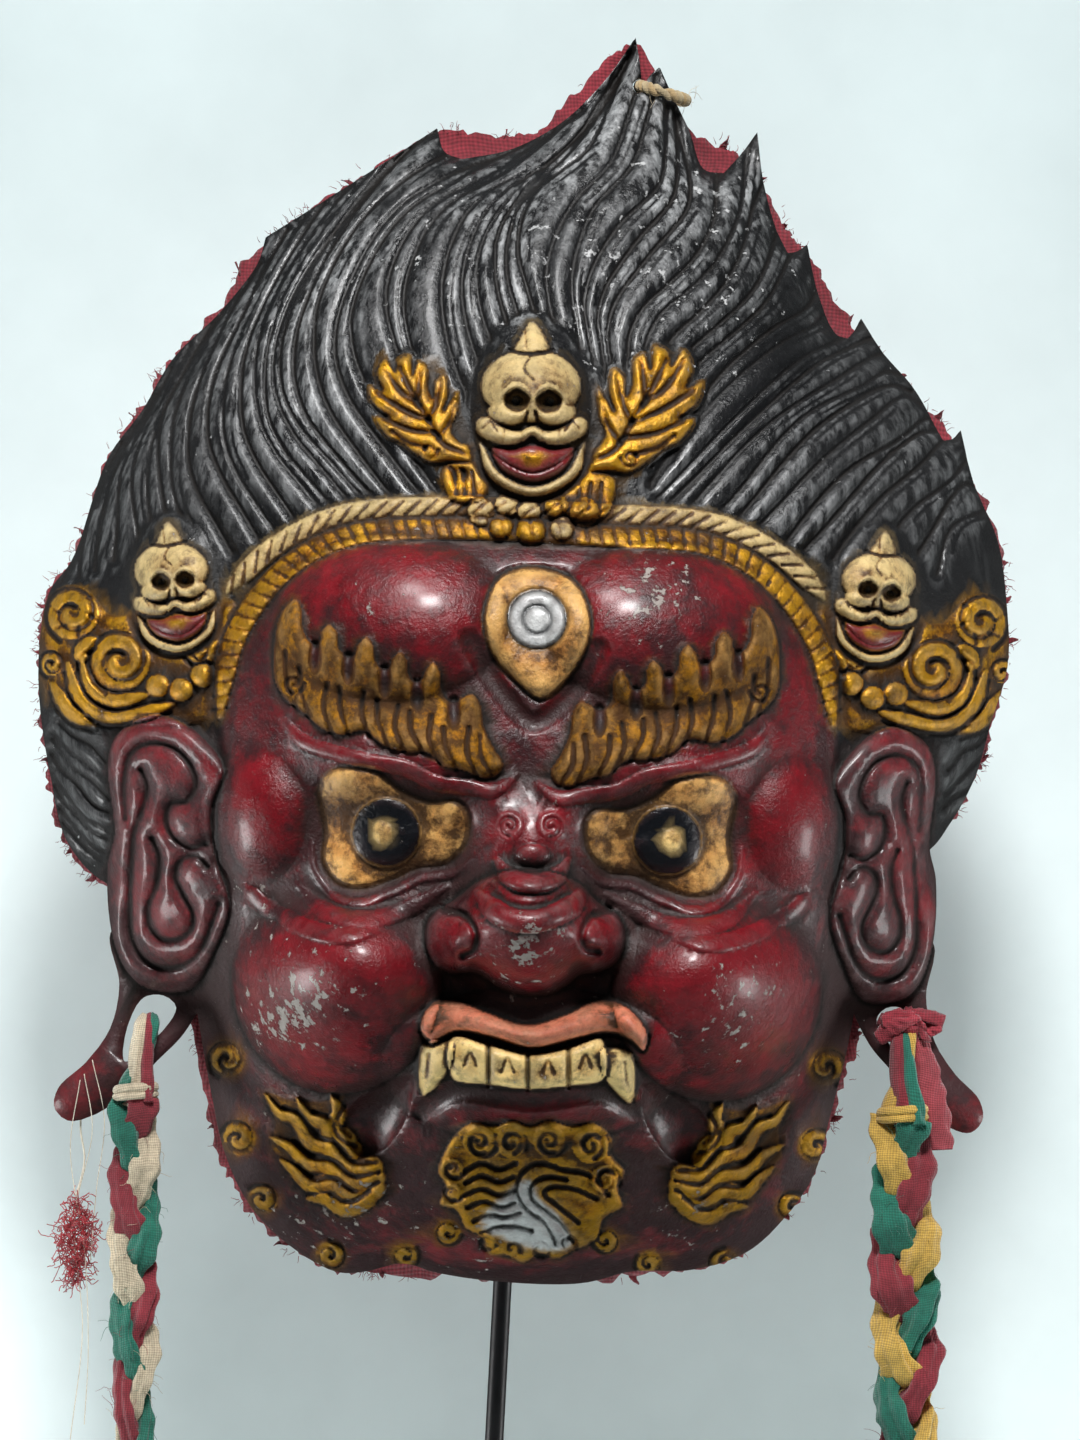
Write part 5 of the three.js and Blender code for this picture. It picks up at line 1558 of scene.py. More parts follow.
def grime_group(name):
    """Dust and painted shade in the hollows, dirt and painted shade in the creases, and flaked paint."""
    g, given, leave = new_group(
        name,
        {
            "Colour": COLOUR, "Hollow": VALUE, "Crease": VALUE, "Worn": VALUE,
            "Dust": COLOUR, "Dirt": COLOUR, "Bare": COLOUR,
        },
        {"Colour": COLOUR, "Dull": VALUE, "Chips": VALUE},
    )
    point = g.point()
    blotch = g.minus(g.noise(point, 70.0, 6.0, 0.62), 0.5)
    grit = g.minus(g.noise(point, 480.0, 5.0, 0.65), 0.5)
    # Painted shade: the dust colour gathers in the hollows as well as in random blotches
    dust_and_shade = g.plus(given["Hollow"], g.times(blotch, 0.9), g.times(grit, 1.2))
    dust_and_shade = g.times(g.spread(dust_and_shade, 0.10, 0.60), 0.6)
    colour = g.mix(dust_and_shade, given["Colour"], given["Dust"])
    # Painted shade: the near-black dirt gathers in the creases
    dirt_and_shade = g.plus(given["Crease"], g.times(g.plus(grit, blotch), 0.5))
    dirt_and_shade = g.times(g.spread(dirt_and_shade, 0.14, 0.80), 0.9)
    colour = g.mix(dirt_and_shade, colour, given["Dirt"])
    loss = g.plus(g.noise(point, 230.0, 7.0, 0.64), g.times(given["Worn"], 0.15), g.times(grit, 0.16))
    chips = g.times(g.spread(loss, 0.690, 0.720), g.minus(1.0, dirt_and_shade))
    colour = g.mix(chips, colour, given["Bare"])
    g.feed(leave, {"Colour": colour, "Dull": g.math("MAXIMUM", dust_and_shade, dirt_and_shade), "Chips": chips})
    return g.tree


def weave_group(name):
    """Fine woven threads for cloth, with painted shade between the threads and painted highlight on their
    tops.
    """
    g, given, leave = new_group(
        name, {"Colour": COLOUR, "Threads": VALUE}, {"Colour": COLOUR, "Height": VALUE},
    )
    point = g.point()
    bent = g.add("ShaderNodeTexNoise", {"Vector": point, "Scale": 30.0}).outputs["Color"]
    moved = g.add("ShaderNodeMix", {0: 0.012, 4: point, 5: bent}, data_type="VECTOR").outputs[1]
    inputs = {"Vector": moved, "Scale": given["Threads"], "Distortion": 1.2}
    warp, weft = (
        g.add("ShaderNodeTexWave", inputs, bands_direction=way).outputs["Fac"] for way in ("X", "Z")
    )
    weave = g.times(g.plus(warp, weft), 0.5)
    height = g.plus(g.times(weave, 0.7), g.times(g.noise(point, 900.0, 3.0), 0.5))
    # Painted shade and highlight: the colour darkens where the weave lies low and lightens on the raised
    # threads
    shade = g.spread(height, 0.2, 0.9, 0.55, 1.2)
    g.feed(leave, {"Colour": g.shaded(given["Colour"], shade), "Height": height})
    return g.tree


def new_material(name):
    material = bpy.data.materials.new(name)
    material.use_nodes = True
    tree = material.node_tree
    return material, Graph(tree), tree.nodes["Principled BSDF"]


def lacquer_material():
    material, g, shader = new_material("aged_lacquer")
    point = g.point()
    crease, hollow, high, worn, black, red, gild, bulge, soot = (
        g.value(name)
        for name in ("crease", "hollow", "high", "worn", "black", "red", "gild", "bulge", "soot")
    )
    paint = g.value("paint", "Color")
    colour = g.group("Uneven colour", {"Colour": paint, "Scale": 38.0, "Strength": 0.45})["Colour"]

    # Brown film over the red, thinnest on what stands out, and thicker with the soot and painted shade out
    # by the ears and low on the chin
    film = g.plus(g.noise(point, 22.0, 7.0, 0.66), g.noise(point, 130.0, 6.0, 0.68), g.times(soot, 0.12))
    film = g.spread(g.minus(film, g.times(bulge, 0.42)), 0.62, 0.92)
    colour = g.mix(g.times(film, g.times(red, 0.9)), colour, rgba(0.030, 0.012, 0.0135))

    # Brown tones and stains in the gilding; the stains gather dirt and painted shade in the creases and
    # hollows
    blotch = g.noise(point, 75.0, 6.0, 0.66)
    speck = g.noise(point, 230.0, 7.0, 0.68)
    tone = g.times(g.spread(g.minus(blotch, g.times(high, 0.2)), 0.34, 0.60), gild)
    colour = g.mix(g.times(tone, 0.8), colour, rgba(0.55, 0.33, 0.14), "MULTIPLY")
    stain_and_shade = g.plus(g.times(g.minus(speck, 0.5), 1.7), g.minus(blotch, 0.5))
    stain_and_shade = g.plus(stain_and_shade, g.times(crease, 0.9), g.times(hollow, 0.8), g.times(soot, 0.24))
    stain_and_shade = g.times(g.spread(stain_and_shade, -0.06, 0.30), g.times(gild, 0.92))
    colour = g.mix(stain_and_shade, colour, rgba(0.070, 0.029, 0.009))

    # Painted highlight: silver sheen along the raised tops of the black strands
    along = g.add("ShaderNodeVectorMath", {0: point, 1: (1.0, 1.0, 0.22)}, operation="MULTIPLY").outputs[0]
    sheen_streak = g.spread(g.noise(along, 260.0, 6.0, 0.68), 0.42, 0.62)
    broad = g.spread(g.noise(point, 18.0, 5.0, 0.6), 0.36, 0.60)
    sheen_tops = g.times(g.minus(black, g.times(soot, 0.7), True), g.spread(high, 0.10, 0.46))
    colour = g.mix(g.times(g.times(sheen_streak, broad), sheen_tops), colour, rgba(0.42, 0.425, 0.43))

    # Rubbed edges and painted highlight, pale on the raised parts of the red, the gilding and the hair
    rub_and_highlight = g.times(g.spread(high, 0.2, 0.9), g.spread(g.noise(point, 150.0, 6.0, 0.65), 0.40, 0.68))
    gilt = g.mix(0.16, paint, rgba(0.95, 0.80, 0.50))
    pale = g.mix(gild, rgba(0.19, 0.105, 0.105), gilt)
    pale = g.mix(black, pale, rgba(0.06, 0.061, 0.063))
    colour = g.mix(g.times(rub_and_highlight, g.spread(gild, 0.0, 1.0, 0.6, 0.8)), colour, pale)

    # Dust, dirt and flakes, with painted shade in the hollows and creases
    dust_and_shade = g.mix(gild, rgba(0.042, 0.022, 0.020), rgba(0.040, 0.020, 0.008))
    aged = g.group("Grime and wear", {
        "Colour": colour, "Hollow": hollow, "Crease": crease, "Worn": worn,
        "Dust": g.mix(black, dust_and_shade, rgba(0.012, 0.012, 0.012)), "Dirt": rgba(0.008, 0.006, 0.005),
        "Bare": g.mix(black, rgba(0.36, 0.31, 0.28), rgba(0.50, 0.50, 0.50)),
    })
    dull = aged["Dull"]
    chips = aged["Chips"]

    # Gloss, grain and the metal in the gold paints
    rough = g.plus(g.value("gloss"), g.times(dull, 0.36), g.times(chips, 0.3), g.times(soot, 0.25))
    uneven = g.spread(g.noise(point, 55.0, 5.0), 0.3, 0.7, -0.07, 0.16)
    coarse = g.times(g.noise(point, 60.0, 3.0), 1.2)
    fine = g.times(g.noise(point, 950.0, 4.0, 0.6), 0.6)
    grain = g.plus(g.noise(point, 260.0, 6.0, 0.6), coarse, fine)
    g.feed(shader, {
        "Base Color": aged["Colour"],
        "Roughness": g.math("ADD", rough, uneven, True),
        "Normal": g.bump(g.minus(grain, g.times(chips, 0.8)), 0.65, 0.0008),
        "Metallic": g.times(g.value("metal"), g.spread(dull, 0.0, 0.6, 0.55, 0.0)),
        "Coat Weight": g.spread(g.plus(dull, gild), 0.0, 0.5, 0.4, 0.0),
        "Specular IOR Level": 0.42,
        "Coat Roughness": 0.2,
    })
    return material


def cloth_material(name, threads, fade):
    material, g, shader = new_material(name)
    dye = g.value("dye", "Color")
    dyed = g.group("Uneven colour", {"Colour": dye, "Scale": 60.0, "Strength": fade})
    woven = g.group("Woven threads", {"Colour": dyed["Colour"], "Threads": threads})
    g.feed(shader, {
        "Base Color": woven["Colour"], "Normal": g.bump(woven["Height"], 0.6, 0.0005), "Roughness": 0.9,
        "Sheen Weight": 0.25,
    })
    return material


def steel_material():
    material, g, shader = new_material("black_steel")
    mottled = g.group("Uneven colour", {"Colour": rgba(*STEEL), "Scale": 45.0, "Strength": 0.4})
    g.feed(shader, {
        "Base Color": mottled["Colour"], "Roughness": g.spread(mottled["Mask"], 0.0, 1.0, 0.34, 0.52),
        "Normal": g.bump(g.noise(g.point(), 900.0, 4.0), 0.12, 0.0003),
    })
    return material


def stage_material():
    """Pale card with painted shade that makes it darker higher up; it is dimmed in what shines, and clear
    from behind.
    """
    material, g, shader = new_material("pale_stage")
    height = g.add("ShaderNodeSeparateXYZ", {0: g.point()}).outputs["Z"]
    # Painted shade: the card's colour darkens higher up, against the lamps that light its top most
    fade = g.mix(g.spread(height, 0.2, 0.62), rgba(0.80, 0.885, 0.885), rgba(0.55, 0.635, 0.64))
    mirrored = g.add("ShaderNodeLightPath").outputs["Is Glossy Ray"]
    dimmed = g.mix(mirrored, fade, rgba(0.05, 0.055, 0.055))
    mottled = g.group("Uneven colour", {"Colour": dimmed, "Scale": 1.2, "Strength": 0.04})
    g.feed(shader, {"Base Color": mottled["Colour"], "Roughness": 0.95})
    clear = g.add("ShaderNodeBsdfTransparent").outputs[0]
    back = g.add("ShaderNodeNewGeometry").outputs["Backfacing"]
    blend = g.add("ShaderNodeMixShader", {0: back, 1: shader.outputs[0], 2: clear}).outputs[0]
    g.feed(g.tree.nodes["Material Output"], {"Surface": blend})
    return material


FORM = {}


def mask_form():
    if "mask" not in FORM:
        FORM["mask"] = MaskForm(bpy.context.scene.dance_mask)
    return FORM["mask"]


class DANCEMASK_OT_mask(bpy.types.Operator):
    """Carve the mask and lay its paints"""

    bl_idname = "dancemask.mask"
    bl_label = "Mask"

    def execute(self, context):
        form = mask_form()
        back = np.minimum(form.inner, form.depth - THINNEST)
        vertices, faces, read = shell_mesh(form.grid, form.plan, form.depth, back)
        piece = new_piece("painted_mask", vertices, faces)
        for name, field in form.fields(context.scene.dance_paints).items():
            front = read(field)
            behind = front if name in ("paint", "gloss") else np.zeros_like(front)
            give_values(piece, name, np.concatenate([front, behind]))
        settle(piece, "DECIMATE", ratio=min(1.0, MASK_TRIANGLES / len(faces)))
        finish_piece(piece, lacquer_material(), ["mask"])
        return {"FINISHED"}


def fray_edge(bundle, outline, depths, dye, rng):
    """Loose threads and tatters along the edge of a cloth, gathered in tufts."""
    count = len(outline)
    centre = outline.mean(axis=0)
    tufts = rng.choice(count, RIM_TUFTS, replace=False)
    steps = np.abs(np.arange(count)[:, None] - tufts[None, :])
    crowd = np.exp(-(np.minimum(steps, count - steps) / 1.8) ** 2).sum(axis=1)
    for k in range(count):
        out = outline[k] - outline[k - 1]
        out = np.array([out[1], -out[0]])
        out = out / max(np.linalg.norm(out), 1e-6)
        if out.dot(outline[k] - centre) < 0:
            out = -out
        root = np.array([outline[k, 0] + MASK_X, RIM_Y - depths[k] + 0.6, outline[k, 1] + CHIN_HEIGHT])
        for _ in range(rng.poisson(0.10 + 2.2 * crowd[k])):
            heading = np.array([out[0], rng.normal(0, 0.4), out[1]]) + rng.normal(0, 0.4, 3)
            path = wander(root + rng.normal(0, 0.7, 3), heading, rng.uniform(1.0, 3.6), 4, 0.35, rng)
            bundle.add(tube(path, np.linspace(0.15, 0.06, 5), 3), dye * rng.uniform(0.6, 1.5))
        if k in tufts and rng.uniform() < 0.6:
            heading = np.array([out[0], rng.normal(0, 0.2), out[1]])
            path = wander(root - 1.5 * heading, heading, rng.uniform(3.0, 5.5), 6, 0.25, rng)
            width = np.linspace(1.5, 0.5, len(path))
            tatter = tube(path, width, 10, flat=0.22, twist=1.5, folds=0.2, seed=k)
            bundle.add(tatter, dye * rng.uniform(0.6, 1.2))


class DANCEMASK_OT_lining(bpy.types.Operator):
    """Glue the red cotton inside and fray its edge"""

    bl_idname = "dancemask.lining"
    bl_label = "Lining"

    def execute(self, context):
        paints = context.scene.dance_paints
        form = mask_form()
        coarse = form.coarse
        rng = np.random.default_rng(7)
        outline = curve(LINING_RUN, True, 2.0)
        ragged = outline + (outline - outline.mean(axis=0)) / 160 * rng.normal(0, 0.9, (len(outline), 1))
        plan = np.minimum(coarse.insideness(ragged), string_hole(coarse))
        front = form.inner[::STRIDE, ::STRIDE] - LINING_GAP
        vertices, faces, _ = shell_mesh(coarse, plan, front, front - LINING_THICK)
        piece = new_piece("cotton_lining", vertices, faces)
        give_values(piece, "dye", np.tile(list(paints.cloth), (len(vertices), 1)))
        settle(piece, "DECIMATE", ratio=LINING_KEPT)
        finish_piece(piece, cloth_material("lining_cotton", 260.0, 0.5), ["cloth_lining"])
        fringe = Bundle()
        depths = coarse.sample(front, outline[:, 0], outline[:, 1])
        fray_edge(fringe, outline, depths, np.array(paints.cloth), rng)
        trim = fringe.piece("lining_fringe")
        finish_piece(trim, cloth_material("fringe_cotton", 400.0, 0.3), [])
        return {"FINISHED"}


def lobe_point(point, forward):
    """Sheet point on a lobe, moved forward, in millimetres of the part's frame."""
    x, h = place(point)
    return np.array([x + MASK_X, RIM_Y - LOBE_DEPTH - forward, h + CHIN_HEIGHT])


def braid_route(plan):
    """Centre line of a braid from its tie down to its end knot, in millimetres."""
    top = lobe_point(plan["front"], plan["radius"] + 1)
    start = top[2] - plan["radius"] - 0.4
    middle = (start + BRAID_BOTTOM) / 2
    route = [
        (top[0], top[1], start), (top[0] + plan["drift"], top[1], middle),
        (top[0] + plan["drift"] / 2, top[1], BRAID_BOTTOM),
    ]
    return spline(route, False, 1.2)


def strand_path(plan, route, number):
    """One of three plaited strips: it swings from side to side and passes over and under."""
    down = route[0, 2] - route[:, 2]
    turn = 2 * math.pi * (down / plan["pitch"] + number / 3)
    swell = 1 + plan["loose"] * np.sin(np.clip(down / 110, 0, 1) * math.pi / 2) * np.clip(down / 30, 0, 1)
    across = plan["spread"] * swell * np.sin(turn)
    deep = 0.62 * plan["spread"] * swell * np.sin(2 * turn)
    return route + np.stack([across, deep, np.zeros_like(across)], axis=1), swell


def wrap_path(centre, radii, turns, rise):
    a = np.linspace(0, 2 * math.pi * turns, int(22 * turns) + 1)
    around = [radii[0] * np.cos(a), radii[1] * np.sin(a), rise * (a / a[-1] - 0.5)]
    return centre + np.stack(around, axis=1)


def add_frays(bundle, paths, dyes, per_path, rng):
    """Loose fibres that stand off cloth strips."""
    for path, dye in zip(paths, dyes):
        for k in rng.integers(1, len(path) - 1, per_path):
            out = rng.normal(0, 1, 3) * (1, 1, 0.4)
            out /= np.linalg.norm(out)
            start = path[k] + out * rng.uniform(2.2, 3.6)
            run = wander(start, out + rng.normal(0, 0.6, 3), rng.uniform(2.5, 9), 6, 0.35, rng, 0.10)
            shade = np.asarray(dye) * rng.uniform(0.8, 1.4)
            bundle.add(tube(run, np.linspace(0.11, 0.05, len(run)), 3), shade)


def tie_bundle(plan, route, strands, dyes, wrap):
    """Strips that come through the slit of the lobe and gather above the braid."""
    bundle = Bundle()
    middle = np.array(plan["slit"])
    for number, (strand, dye) in enumerate(zip(strands, dyes)):
        shift = (number - 1) * 2.2
        through = lobe_point(middle, 0) + (shift * 0.6, 0, 0)
        run = np.array([
            through + (0, 11, -7), through + (0, 8, -1), through + (0, 1, 1.5),
            through + (shift * 0.3, -6.5, -2), (through + strand[0]) / 2 + (shift * 0.4, -4.0, 0),
            strand[0] + (0, 0, 3), strand[0] + (0, 0, -1.5),
        ])
        path = spline(run, False, 1.0)
        width = np.interp(np.linspace(0, 1, len(path)), (0, 0.35, 0.7, 1), (2.4, 2.5, 3.4, plan["strip"]))
        bundle.add(tube(path, width, 24, flat=0.6, twist=0.9, folds=0.14, seed=11 + number), dye)
    ring = route[0] + (0, 0, 1.5)
    path = wrap_path(ring, (plan["strip"] + 1.6, plan["strip"] + 0.9), 2.2, 5.0)
    bundle.add(tube(path, 1.7, 12, flat=0.8, twist=1.0, folds=0.10, seed=31), wrap)
    return bundle


def knot_bundle(plan, route, dyes, wrap):
    """Wound strip and loose ends that close a braid."""
    bundle = Bundle()
    end = route[-1]
    path = wrap_path(end + (0, 0, -4.5), (plan["strip"] + 1.8, plan["strip"] + 1.0), 2.3, 6.0)
    bundle.add(tube(path, 2.0, 12, flat=0.8, twist=1.0, folds=0.10, seed=41), wrap)
    for number, dye in enumerate(dyes):
        lean = np.array([math.cos(2.1 * number + 0.6), math.sin(2.1 * number + 0.6), 0]) * 4.0
        low = end[2] - plan["radius"] - KNOT_LENGTH
        path = spline([
            end + (0, 0, -1), end + lean * 0.4 + (0, 0, -9), (*(end + lean)[:2], low + 6),
            (*(end + lean * 1.1)[:2], low),
        ], False, 1.0)
        widths = (2.4, plan["strip"] * 0.8, plan["strip"] * 0.9)
        width = np.interp(np.linspace(0, 1, len(path)), (0, 0.3, 1), widths)
        bundle.add(tube(path, width, 20, flat=0.45, twist=0.7, folds=0.16, seed=51 + number), dye)
    return bundle


def make_braid(side, paints, cloth):
    plan = BRAIDS[side]
    rng = np.random.default_rng(len(side) * 13)
    route = braid_route(plan)
    dyes = [np.array(getattr(paints, name)) for name in plan["strands"]]
    wrap = np.array(getattr(paints, plan["wrap"]))
    strands = []
    bundle = Bundle()
    for number, dye in enumerate(dyes):
        path, swell = strand_path(plan, route, number)
        strands.append(path)
        z = path[:, 2]
        wobble = 1 + 0.12 * np.sin(z * 0.31 + number) + 0.10 * np.sin(z * 0.83 + 2 * number)
        width = plan["strip"] * wobble * (0.85 + 0.15 * swell)
        bundle.add(tube(path, width, 36, flat=0.62, twist=3.4, folds=0.24, seed=7 * number + 3), dye)
    braid = bundle.piece(f"{side}_plait")
    tie = tie_bundle(plan, route, strands, dyes, wrap)
    if side == "right":
        add_right_rags(tie, paints, rng)
    tie = tie.piece(f"{side}_tie_cloth")
    knot = knot_bundle(plan, route, dyes, wrap).piece(f"{side}_knot_cloth")
    frays = Bundle()
    add_frays(frays, strands, dyes, BRAID_FRAYS, rng)
    frays = frays.piece(f"{side}_frays")
    finish_piece(braid, cloth, [f"{side}_braid"])
    finish_piece(tie, cloth, [f"{side}_tie"])
    finish_piece(knot, cloth, [f"{side}_knot"])
    finish_piece(frays, cloth, [])


def add_right_rags(bundle, paints, rng):
    """Crumpled red rag in the right slit and a faded strip that hangs from it."""
    red = np.array(paints.cloth)
    for number in range(7):
        spot = (RAG_AT[0] + rng.normal(0, 11), RAG_AT[1] + rng.normal(0, 9))
        centre = lobe_point(spot, rng.uniform(1, 6))
        lean = rng.normal(0, 1, 3) * (1, 0.35, 0.8)
        lean *= 7.5 / np.linalg.norm(lean)
        path = spline([centre - lean, centre + rng.normal(0, 1.2, 3), centre + lean], False, 0.8)
        width = 3.6 * np.sin(np.linspace(0.35, 2.8, len(path))) ** 0.6
        rag = tube(path, width, 18, flat=0.5, twist=2.0, folds=0.22, seed=71 + number)
        bundle.add(rag, red * rng.uniform(0.7, 1.5))
    path = spline([lobe_point(spot, forward) for spot, forward in RAG_STRIP], False, 0.8)
    strip = tube(path, np.linspace(3.2, 5.4, len(path)), 22, flat=0.4, twist=0.5, folds=0.18, seed=91)
    bundle.add(strip, red * (1.5, 2.4, 2.0))


class DANCEMASK_OT_braids(bpy.types.Operator):
    """Plait the cloth braids and hang them from the lobes"""

    bl_idname = "dancemask.braids"
    bl_label = "Braids"

    def execute(self, context):
        cloth = cloth_material("braid_cotton", 420.0, 0.35)
        for side in BRAIDS:
            make_braid(side, context.scene.dance_paints, cloth)
        return {"FINISHED"}


class DANCEMASK_OT_tuft(bpy.types.Operator):
    """Hang the wool tuft and the loose threads"""

    bl_idname = "dancemask.tuft"
    bl_label = "Tuft"

    def execute(self, context):
        paints = context.scene.dance_paints
        rng = np.random.default_rng(23)
        white = np.array(paints.pale) * (1.25, 1.35, 1.55)
        route = spline([lobe_point(p, -WALL / 2) for p in THREAD_RUN], False, 0.8)
        line = Bundle()
        line.add(tube(route, THREAD_WIDE / 2, 6), white)
        thread = line.piece("white_thread")
        extra = Bundle()
        for run in LOOSE_THREADS:
            path = spline([lobe_point(p, rng.uniform(-2, 3)) for p in run], False, 1.5)
            extra.add(tube(path, 0.16, 5), white)
        loose = extra.piece("loose_threads")
        wool = Bundle()
        top = route[-1] + (0, 0, -0.4)
        for _ in range(WOOL_FIBRES):
            down = rng.beta(1.5, 1.4) * TUFT_LENGTH
            girth = 6.2 * math.sin(math.pi * min(max(down / TUFT_LENGTH, 0.08), 0.95)) ** 0.7
            angle = rng.uniform(0, 2 * math.pi)
            reach = girth * math.sqrt(rng.uniform(0, 1))
            start = top + (reach * math.cos(angle), reach * math.sin(angle), -down)
            run = wander(start, rng.normal(0, 1, 3) + (0, 0, -0.8), rng.uniform(4, 9), 8, 0.55, rng)
            shade = np.array(paints.cloth) * (2.2, 1.1, 1.1) * rng.uniform(0.7, 1.3)
            wool.add(tube(run, 0.17, 3), shade)
        tuft = wool.piece("wool_fibres")
        cotton = cloth_material("thread_cotton", 900.0, 0.15)
        finish_piece(thread, cotton, ["tuft_thread"])
        finish_piece(loose, cotton, [])
        finish_piece(tuft, cloth_material("tuft_wool", 900.0, 0.3), ["wool_tuft"])
        return {"FINISHED"}


class DANCEMASK_OT_string(bpy.types.Operator):
    """Tie the twisted string round the lock beside the top tip"""

    bl_idname = "dancemask.string"
    bl_label = "String"

    def execute(self, context):
        near = np.array(place(STRING["at"]))
        far = np.array(place(STRING["far"]))
        middle = (STRING["front"] + STRING["back"]) / 2
        a = np.linspace(0, 2 * math.pi, 240, endpoint=False)
        side, lift = (np.sign(wave) * np.abs(wave) ** 0.6 for wave in (np.cos(a), np.sin(a)))
        share = (1 - side) / 2
        flat = far[None, :] * (1 - share[:, None]) + near[None, :] * share[:, None]
        depth = middle + lift * (STRING["front"] - middle)
        loop = np.stack([flat[:, 0] + MASK_X, RIM_Y - depth, flat[:, 1] + CHIN_HEIGHT], axis=1)
        along = np.array([far[0] - near[0], 0, far[1] - near[1]])
        upward = np.cross(along, (0, 1, 0))
        upward /= np.linalg.norm(upward)
        tangent = np.roll(loop, -1, 0) - np.roll(loop, 1, 0)
        tangent /= np.linalg.norm(tangent, axis=1, keepdims=True)
        outward = np.cross(tangent, upward)
        bundle = Bundle()
        pale = np.array(context.scene.dance_paints.pale)
        for ply, tint in enumerate(((1.0, 0.93, 0.75), (1.0, 0.84, 0.58))):
            turn = a * STRING["turns"] + math.pi * ply
            path = loop + 0.85 * STRING["ply"] * (
                np.cos(turn)[:, None] * upward[None, :] + np.sin(turn)[:, None] * outward
            )
            bundle.add(tube(path, STRING["ply"], 12, closed=True), pale * tint)
        add_frays(bundle, [loop], [pale], STRING_FRAYS, np.random.default_rng(5))
        piece = bundle.piece("twisted_string")
        finish_piece(piece, cloth_material("string_cotton", 700.0, 0.4), ["hanging_string"])
        return {"FINISHED"}


def stacked(rings):
    """Closed solid through rings of equal count, given in millimetres, lowest first."""
    count = len(rings[0])
    vertices = np.vstack([*rings, rings[0].mean(axis=0)[None], rings[-1].mean(axis=0)[None]])
    ring = np.arange(count)
    after = (ring + 1) % count
    quads = []
    for k in range(len(rings) - 1):
        here = k * count
        above = here + count
        quads.append(np.stack([here + ring, here + after, above + after, above + ring], 1))
    first = len(rings) * count
    return vertices * MM, np.vstack(quads), end_caps(ring, after, first, first - count)


def rounded_plate():
    """Plate of the stand with round corners and bevelled edges."""
    rings = []
    arc = np.linspace(0, math.pi / 2, 7)
    levels = [(BASE_BEVEL * (1 - math.sin(a)), BASE_BEVEL * (1 - math.cos(a))) for a in arc]
    for inset, z in levels + [(inset, BASE_HIGH - z) for inset, z in reversed(levels)]:
        ring = []
        radius = BASE_CORNER - inset
        for quarter in range(4):
            cx = (BASE_WIDE / 2 - BASE_CORNER) * (1 if quarter in (0, 3) else -1)
            cy = (BASE_DEEP / 2 - BASE_CORNER) * (1 if quarter in (0, 1) else -1)
            for a in arc + quarter * math.pi / 2:
                ring.append((cx + radius * math.cos(a), cy + radius * math.sin(a), z))
        rings.append(np.array(ring))
    return stacked(rings)


class DANCEMASK_OT_stand(bpy.types.Operator):
    """Make the steel rod, its crossbar and its plate"""

    bl_idname = "dancemask.stand"
    bl_label = "Stand"

    def execute(self, context):
        steel = steel_material()
        low = np.array(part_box("stand_rod")[0]) / MM
        top = CHIN_HEIGHT + CROSSBAR_HEIGHT
        bar_y = low[1] + ROD_RADIUS

        def rod_x(z):
            return (z - BASE_HIGH) * ROD_LEAN

        route = spline([
            (0, ROD_Y, BASE_HIGH + BASE_GAP), (rod_x(120), ROD_Y, 120), (rod_x(top - 60), ROD_Y, top - 60),
            (rod_x(top), ROD_Y - 12, top - 18), (rod_x(top), bar_y + 20, top), (rod_x(top), bar_y, top),
        ], False, 3.0)
        bundle = Bundle()
        bundle.add(tube(route, ROD_RADIUS, 24), STEEL)
        ends = [(rod_x(top) + side * CROSSBAR_HALF, bar_y, top) for side in np.linspace(-1, 1, 9)]
        bundle.add(tube(ends, ROD_RADIUS, 24), STEEL)
        a = np.linspace(0, 2 * math.pi, 40, endpoint=False)
        rings = [
            np.stack([r * np.cos(a), ROD_Y + r * np.sin(a), np.full(40, BASE_HIGH + BASE_GAP + z)], 1)
            for r, z in COLLAR
        ]
        bundle.add(stacked(rings), STEEL)
        rod = bundle.piece("steel_rod")
        plate = Bundle()
        plate.add(rounded_plate(), STEEL)
        base = plate.piece("steel_plate")
        finish_piece(rod, steel, ["stand_rod"])
        finish_piece(base, steel, ["stand_base"])
        for piece in (rod, base):
            settle(piece, "EDGE_SPLIT", split_angle=math.radians(40))
        return {"FINISHED"}


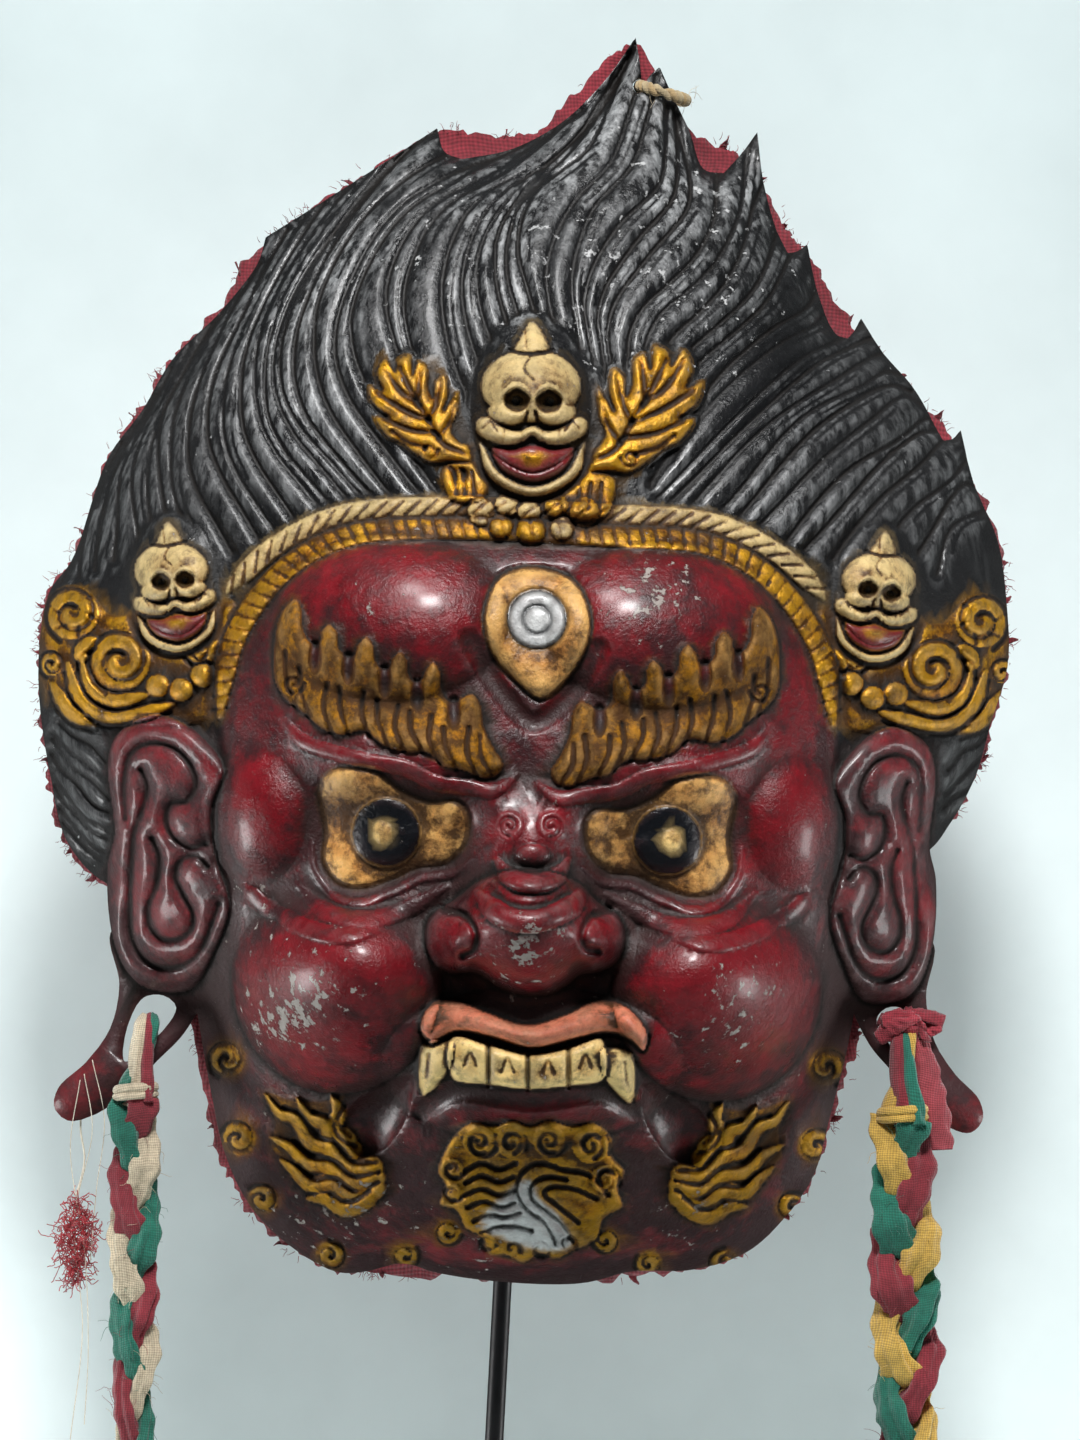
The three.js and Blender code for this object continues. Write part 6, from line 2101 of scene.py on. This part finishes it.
class DANCEMASK_OT_stage(bpy.types.Operator):
    """Set the floor, wall, lights and camera"""

    bl_idname = "dancemask.stage"
    bl_label = "Stage"

    def execute(self, context):
        scene = context.scene
        scene.view_settings.view_transform = "Standard"
        profile = [(FLOOR_FRONT, 0.0)]
        for a in np.linspace(0, math.pi / 2, 14):
            profile.append((BEND_FROM + BEND_RADIUS * math.sin(a), BEND_RADIUS - BEND_RADIUS * math.cos(a)))
        profile.append((WALL_AT, WALL_HIGH))
        vertices = [(side * STAGE_HALF, y, z) for y, z in profile for side in (-1, 1)]
        faces = [(2 * k, 2 * k + 1, 2 * k + 3, 2 * k + 2) for k in range(len(profile) - 1)]
        sweep = new_piece("stage_sweep", vertices, faces)
        sweep.data.materials.append(stage_material())
        x, h = place(SHEET_CENTRE)
        centre = Vector((MASK_X + x, 0, CHIN_HEIGHT + h)) * MM
        camera = bpy.data.cameras.new("photo_camera")
        camera.sensor_width = 36
        camera.lens = camera.sensor_width * CAMERA_FAR / (SHEET_TALL * UNIT * MM)
        camera.clip_end = 100
        eye = bpy.data.objects.new("photo_camera", camera)
        eye.location = centre + Vector((0, RIM_Y * 0.5 * MM - CAMERA_FAR, 0))
        eye.rotation_euler = (math.pi / 2, 0, 0)
        scene.collection.objects.link(eye)
        scene.camera = eye
        for name, (spot, target, size, power) in LAMPS.items():
            light = bpy.data.lights.new(name, "AREA")
            light.size = size
            light.energy = power
            lamp = bpy.data.objects.new(name, light)
            lamp.location = spot
            aim = Vector(target) - Vector(spot)
            lamp.rotation_euler = aim.to_track_quat("-Z", "Y").to_euler()
            scene.collection.objects.link(lamp)
        world = bpy.data.worlds.new("pale_room")
        world.use_nodes = True
        background = world.node_tree.nodes["Background"]
        background.inputs["Color"].default_value = ROOM_TINT
        background.inputs["Strength"].default_value = ROOM_LIGHT
        scene.world = world
        return {"FINISHED"}


class DANCEMASK_PT_panel(bpy.types.Panel):
    """Lists the pieces of the mask and their settings"""

    bl_idname = "DANCEMASK_PT_panel"
    bl_label = "Dance Mask"
    bl_space_type = "VIEW_3D"
    bl_region_type = "UI"
    bl_category = "Dance Mask"

    def draw(self, context):
        for operator in OPERATORS:
            self.layout.operator(operator.bl_idname)
        for name in ("strand_depth", "stroke_depth"):
            self.layout.prop(context.scene.dance_mask, name)
        for name in PAINTS:
            self.layout.prop(context.scene.dance_paints, name)


OPERATORS = (
    DANCEMASK_OT_stage, DANCEMASK_OT_mask, DANCEMASK_OT_lining, DANCEMASK_OT_braids, DANCEMASK_OT_tuft,
    DANCEMASK_OT_string, DANCEMASK_OT_stand,
)
CLASSES = (MaskSettings, PaintSettings, *OPERATORS, DANCEMASK_PT_panel)


def register():
    for cls in CLASSES:
        bpy.utils.register_class(cls)
    bpy.types.Scene.dance_mask = bpy.props.PointerProperty(type=MaskSettings)
    bpy.types.Scene.dance_paints = bpy.props.PointerProperty(type=PaintSettings)


def unregister():
    del bpy.types.Scene.dance_paints
    del bpy.types.Scene.dance_mask
    for cls in reversed(CLASSES):
        bpy.utils.unregister_class(cls)


def main():
    register()
    for operator in OPERATORS:
        group, name = operator.bl_idname.split(".")
        getattr(getattr(bpy.ops, group), name)()


if __name__ == "__main__":
    main()
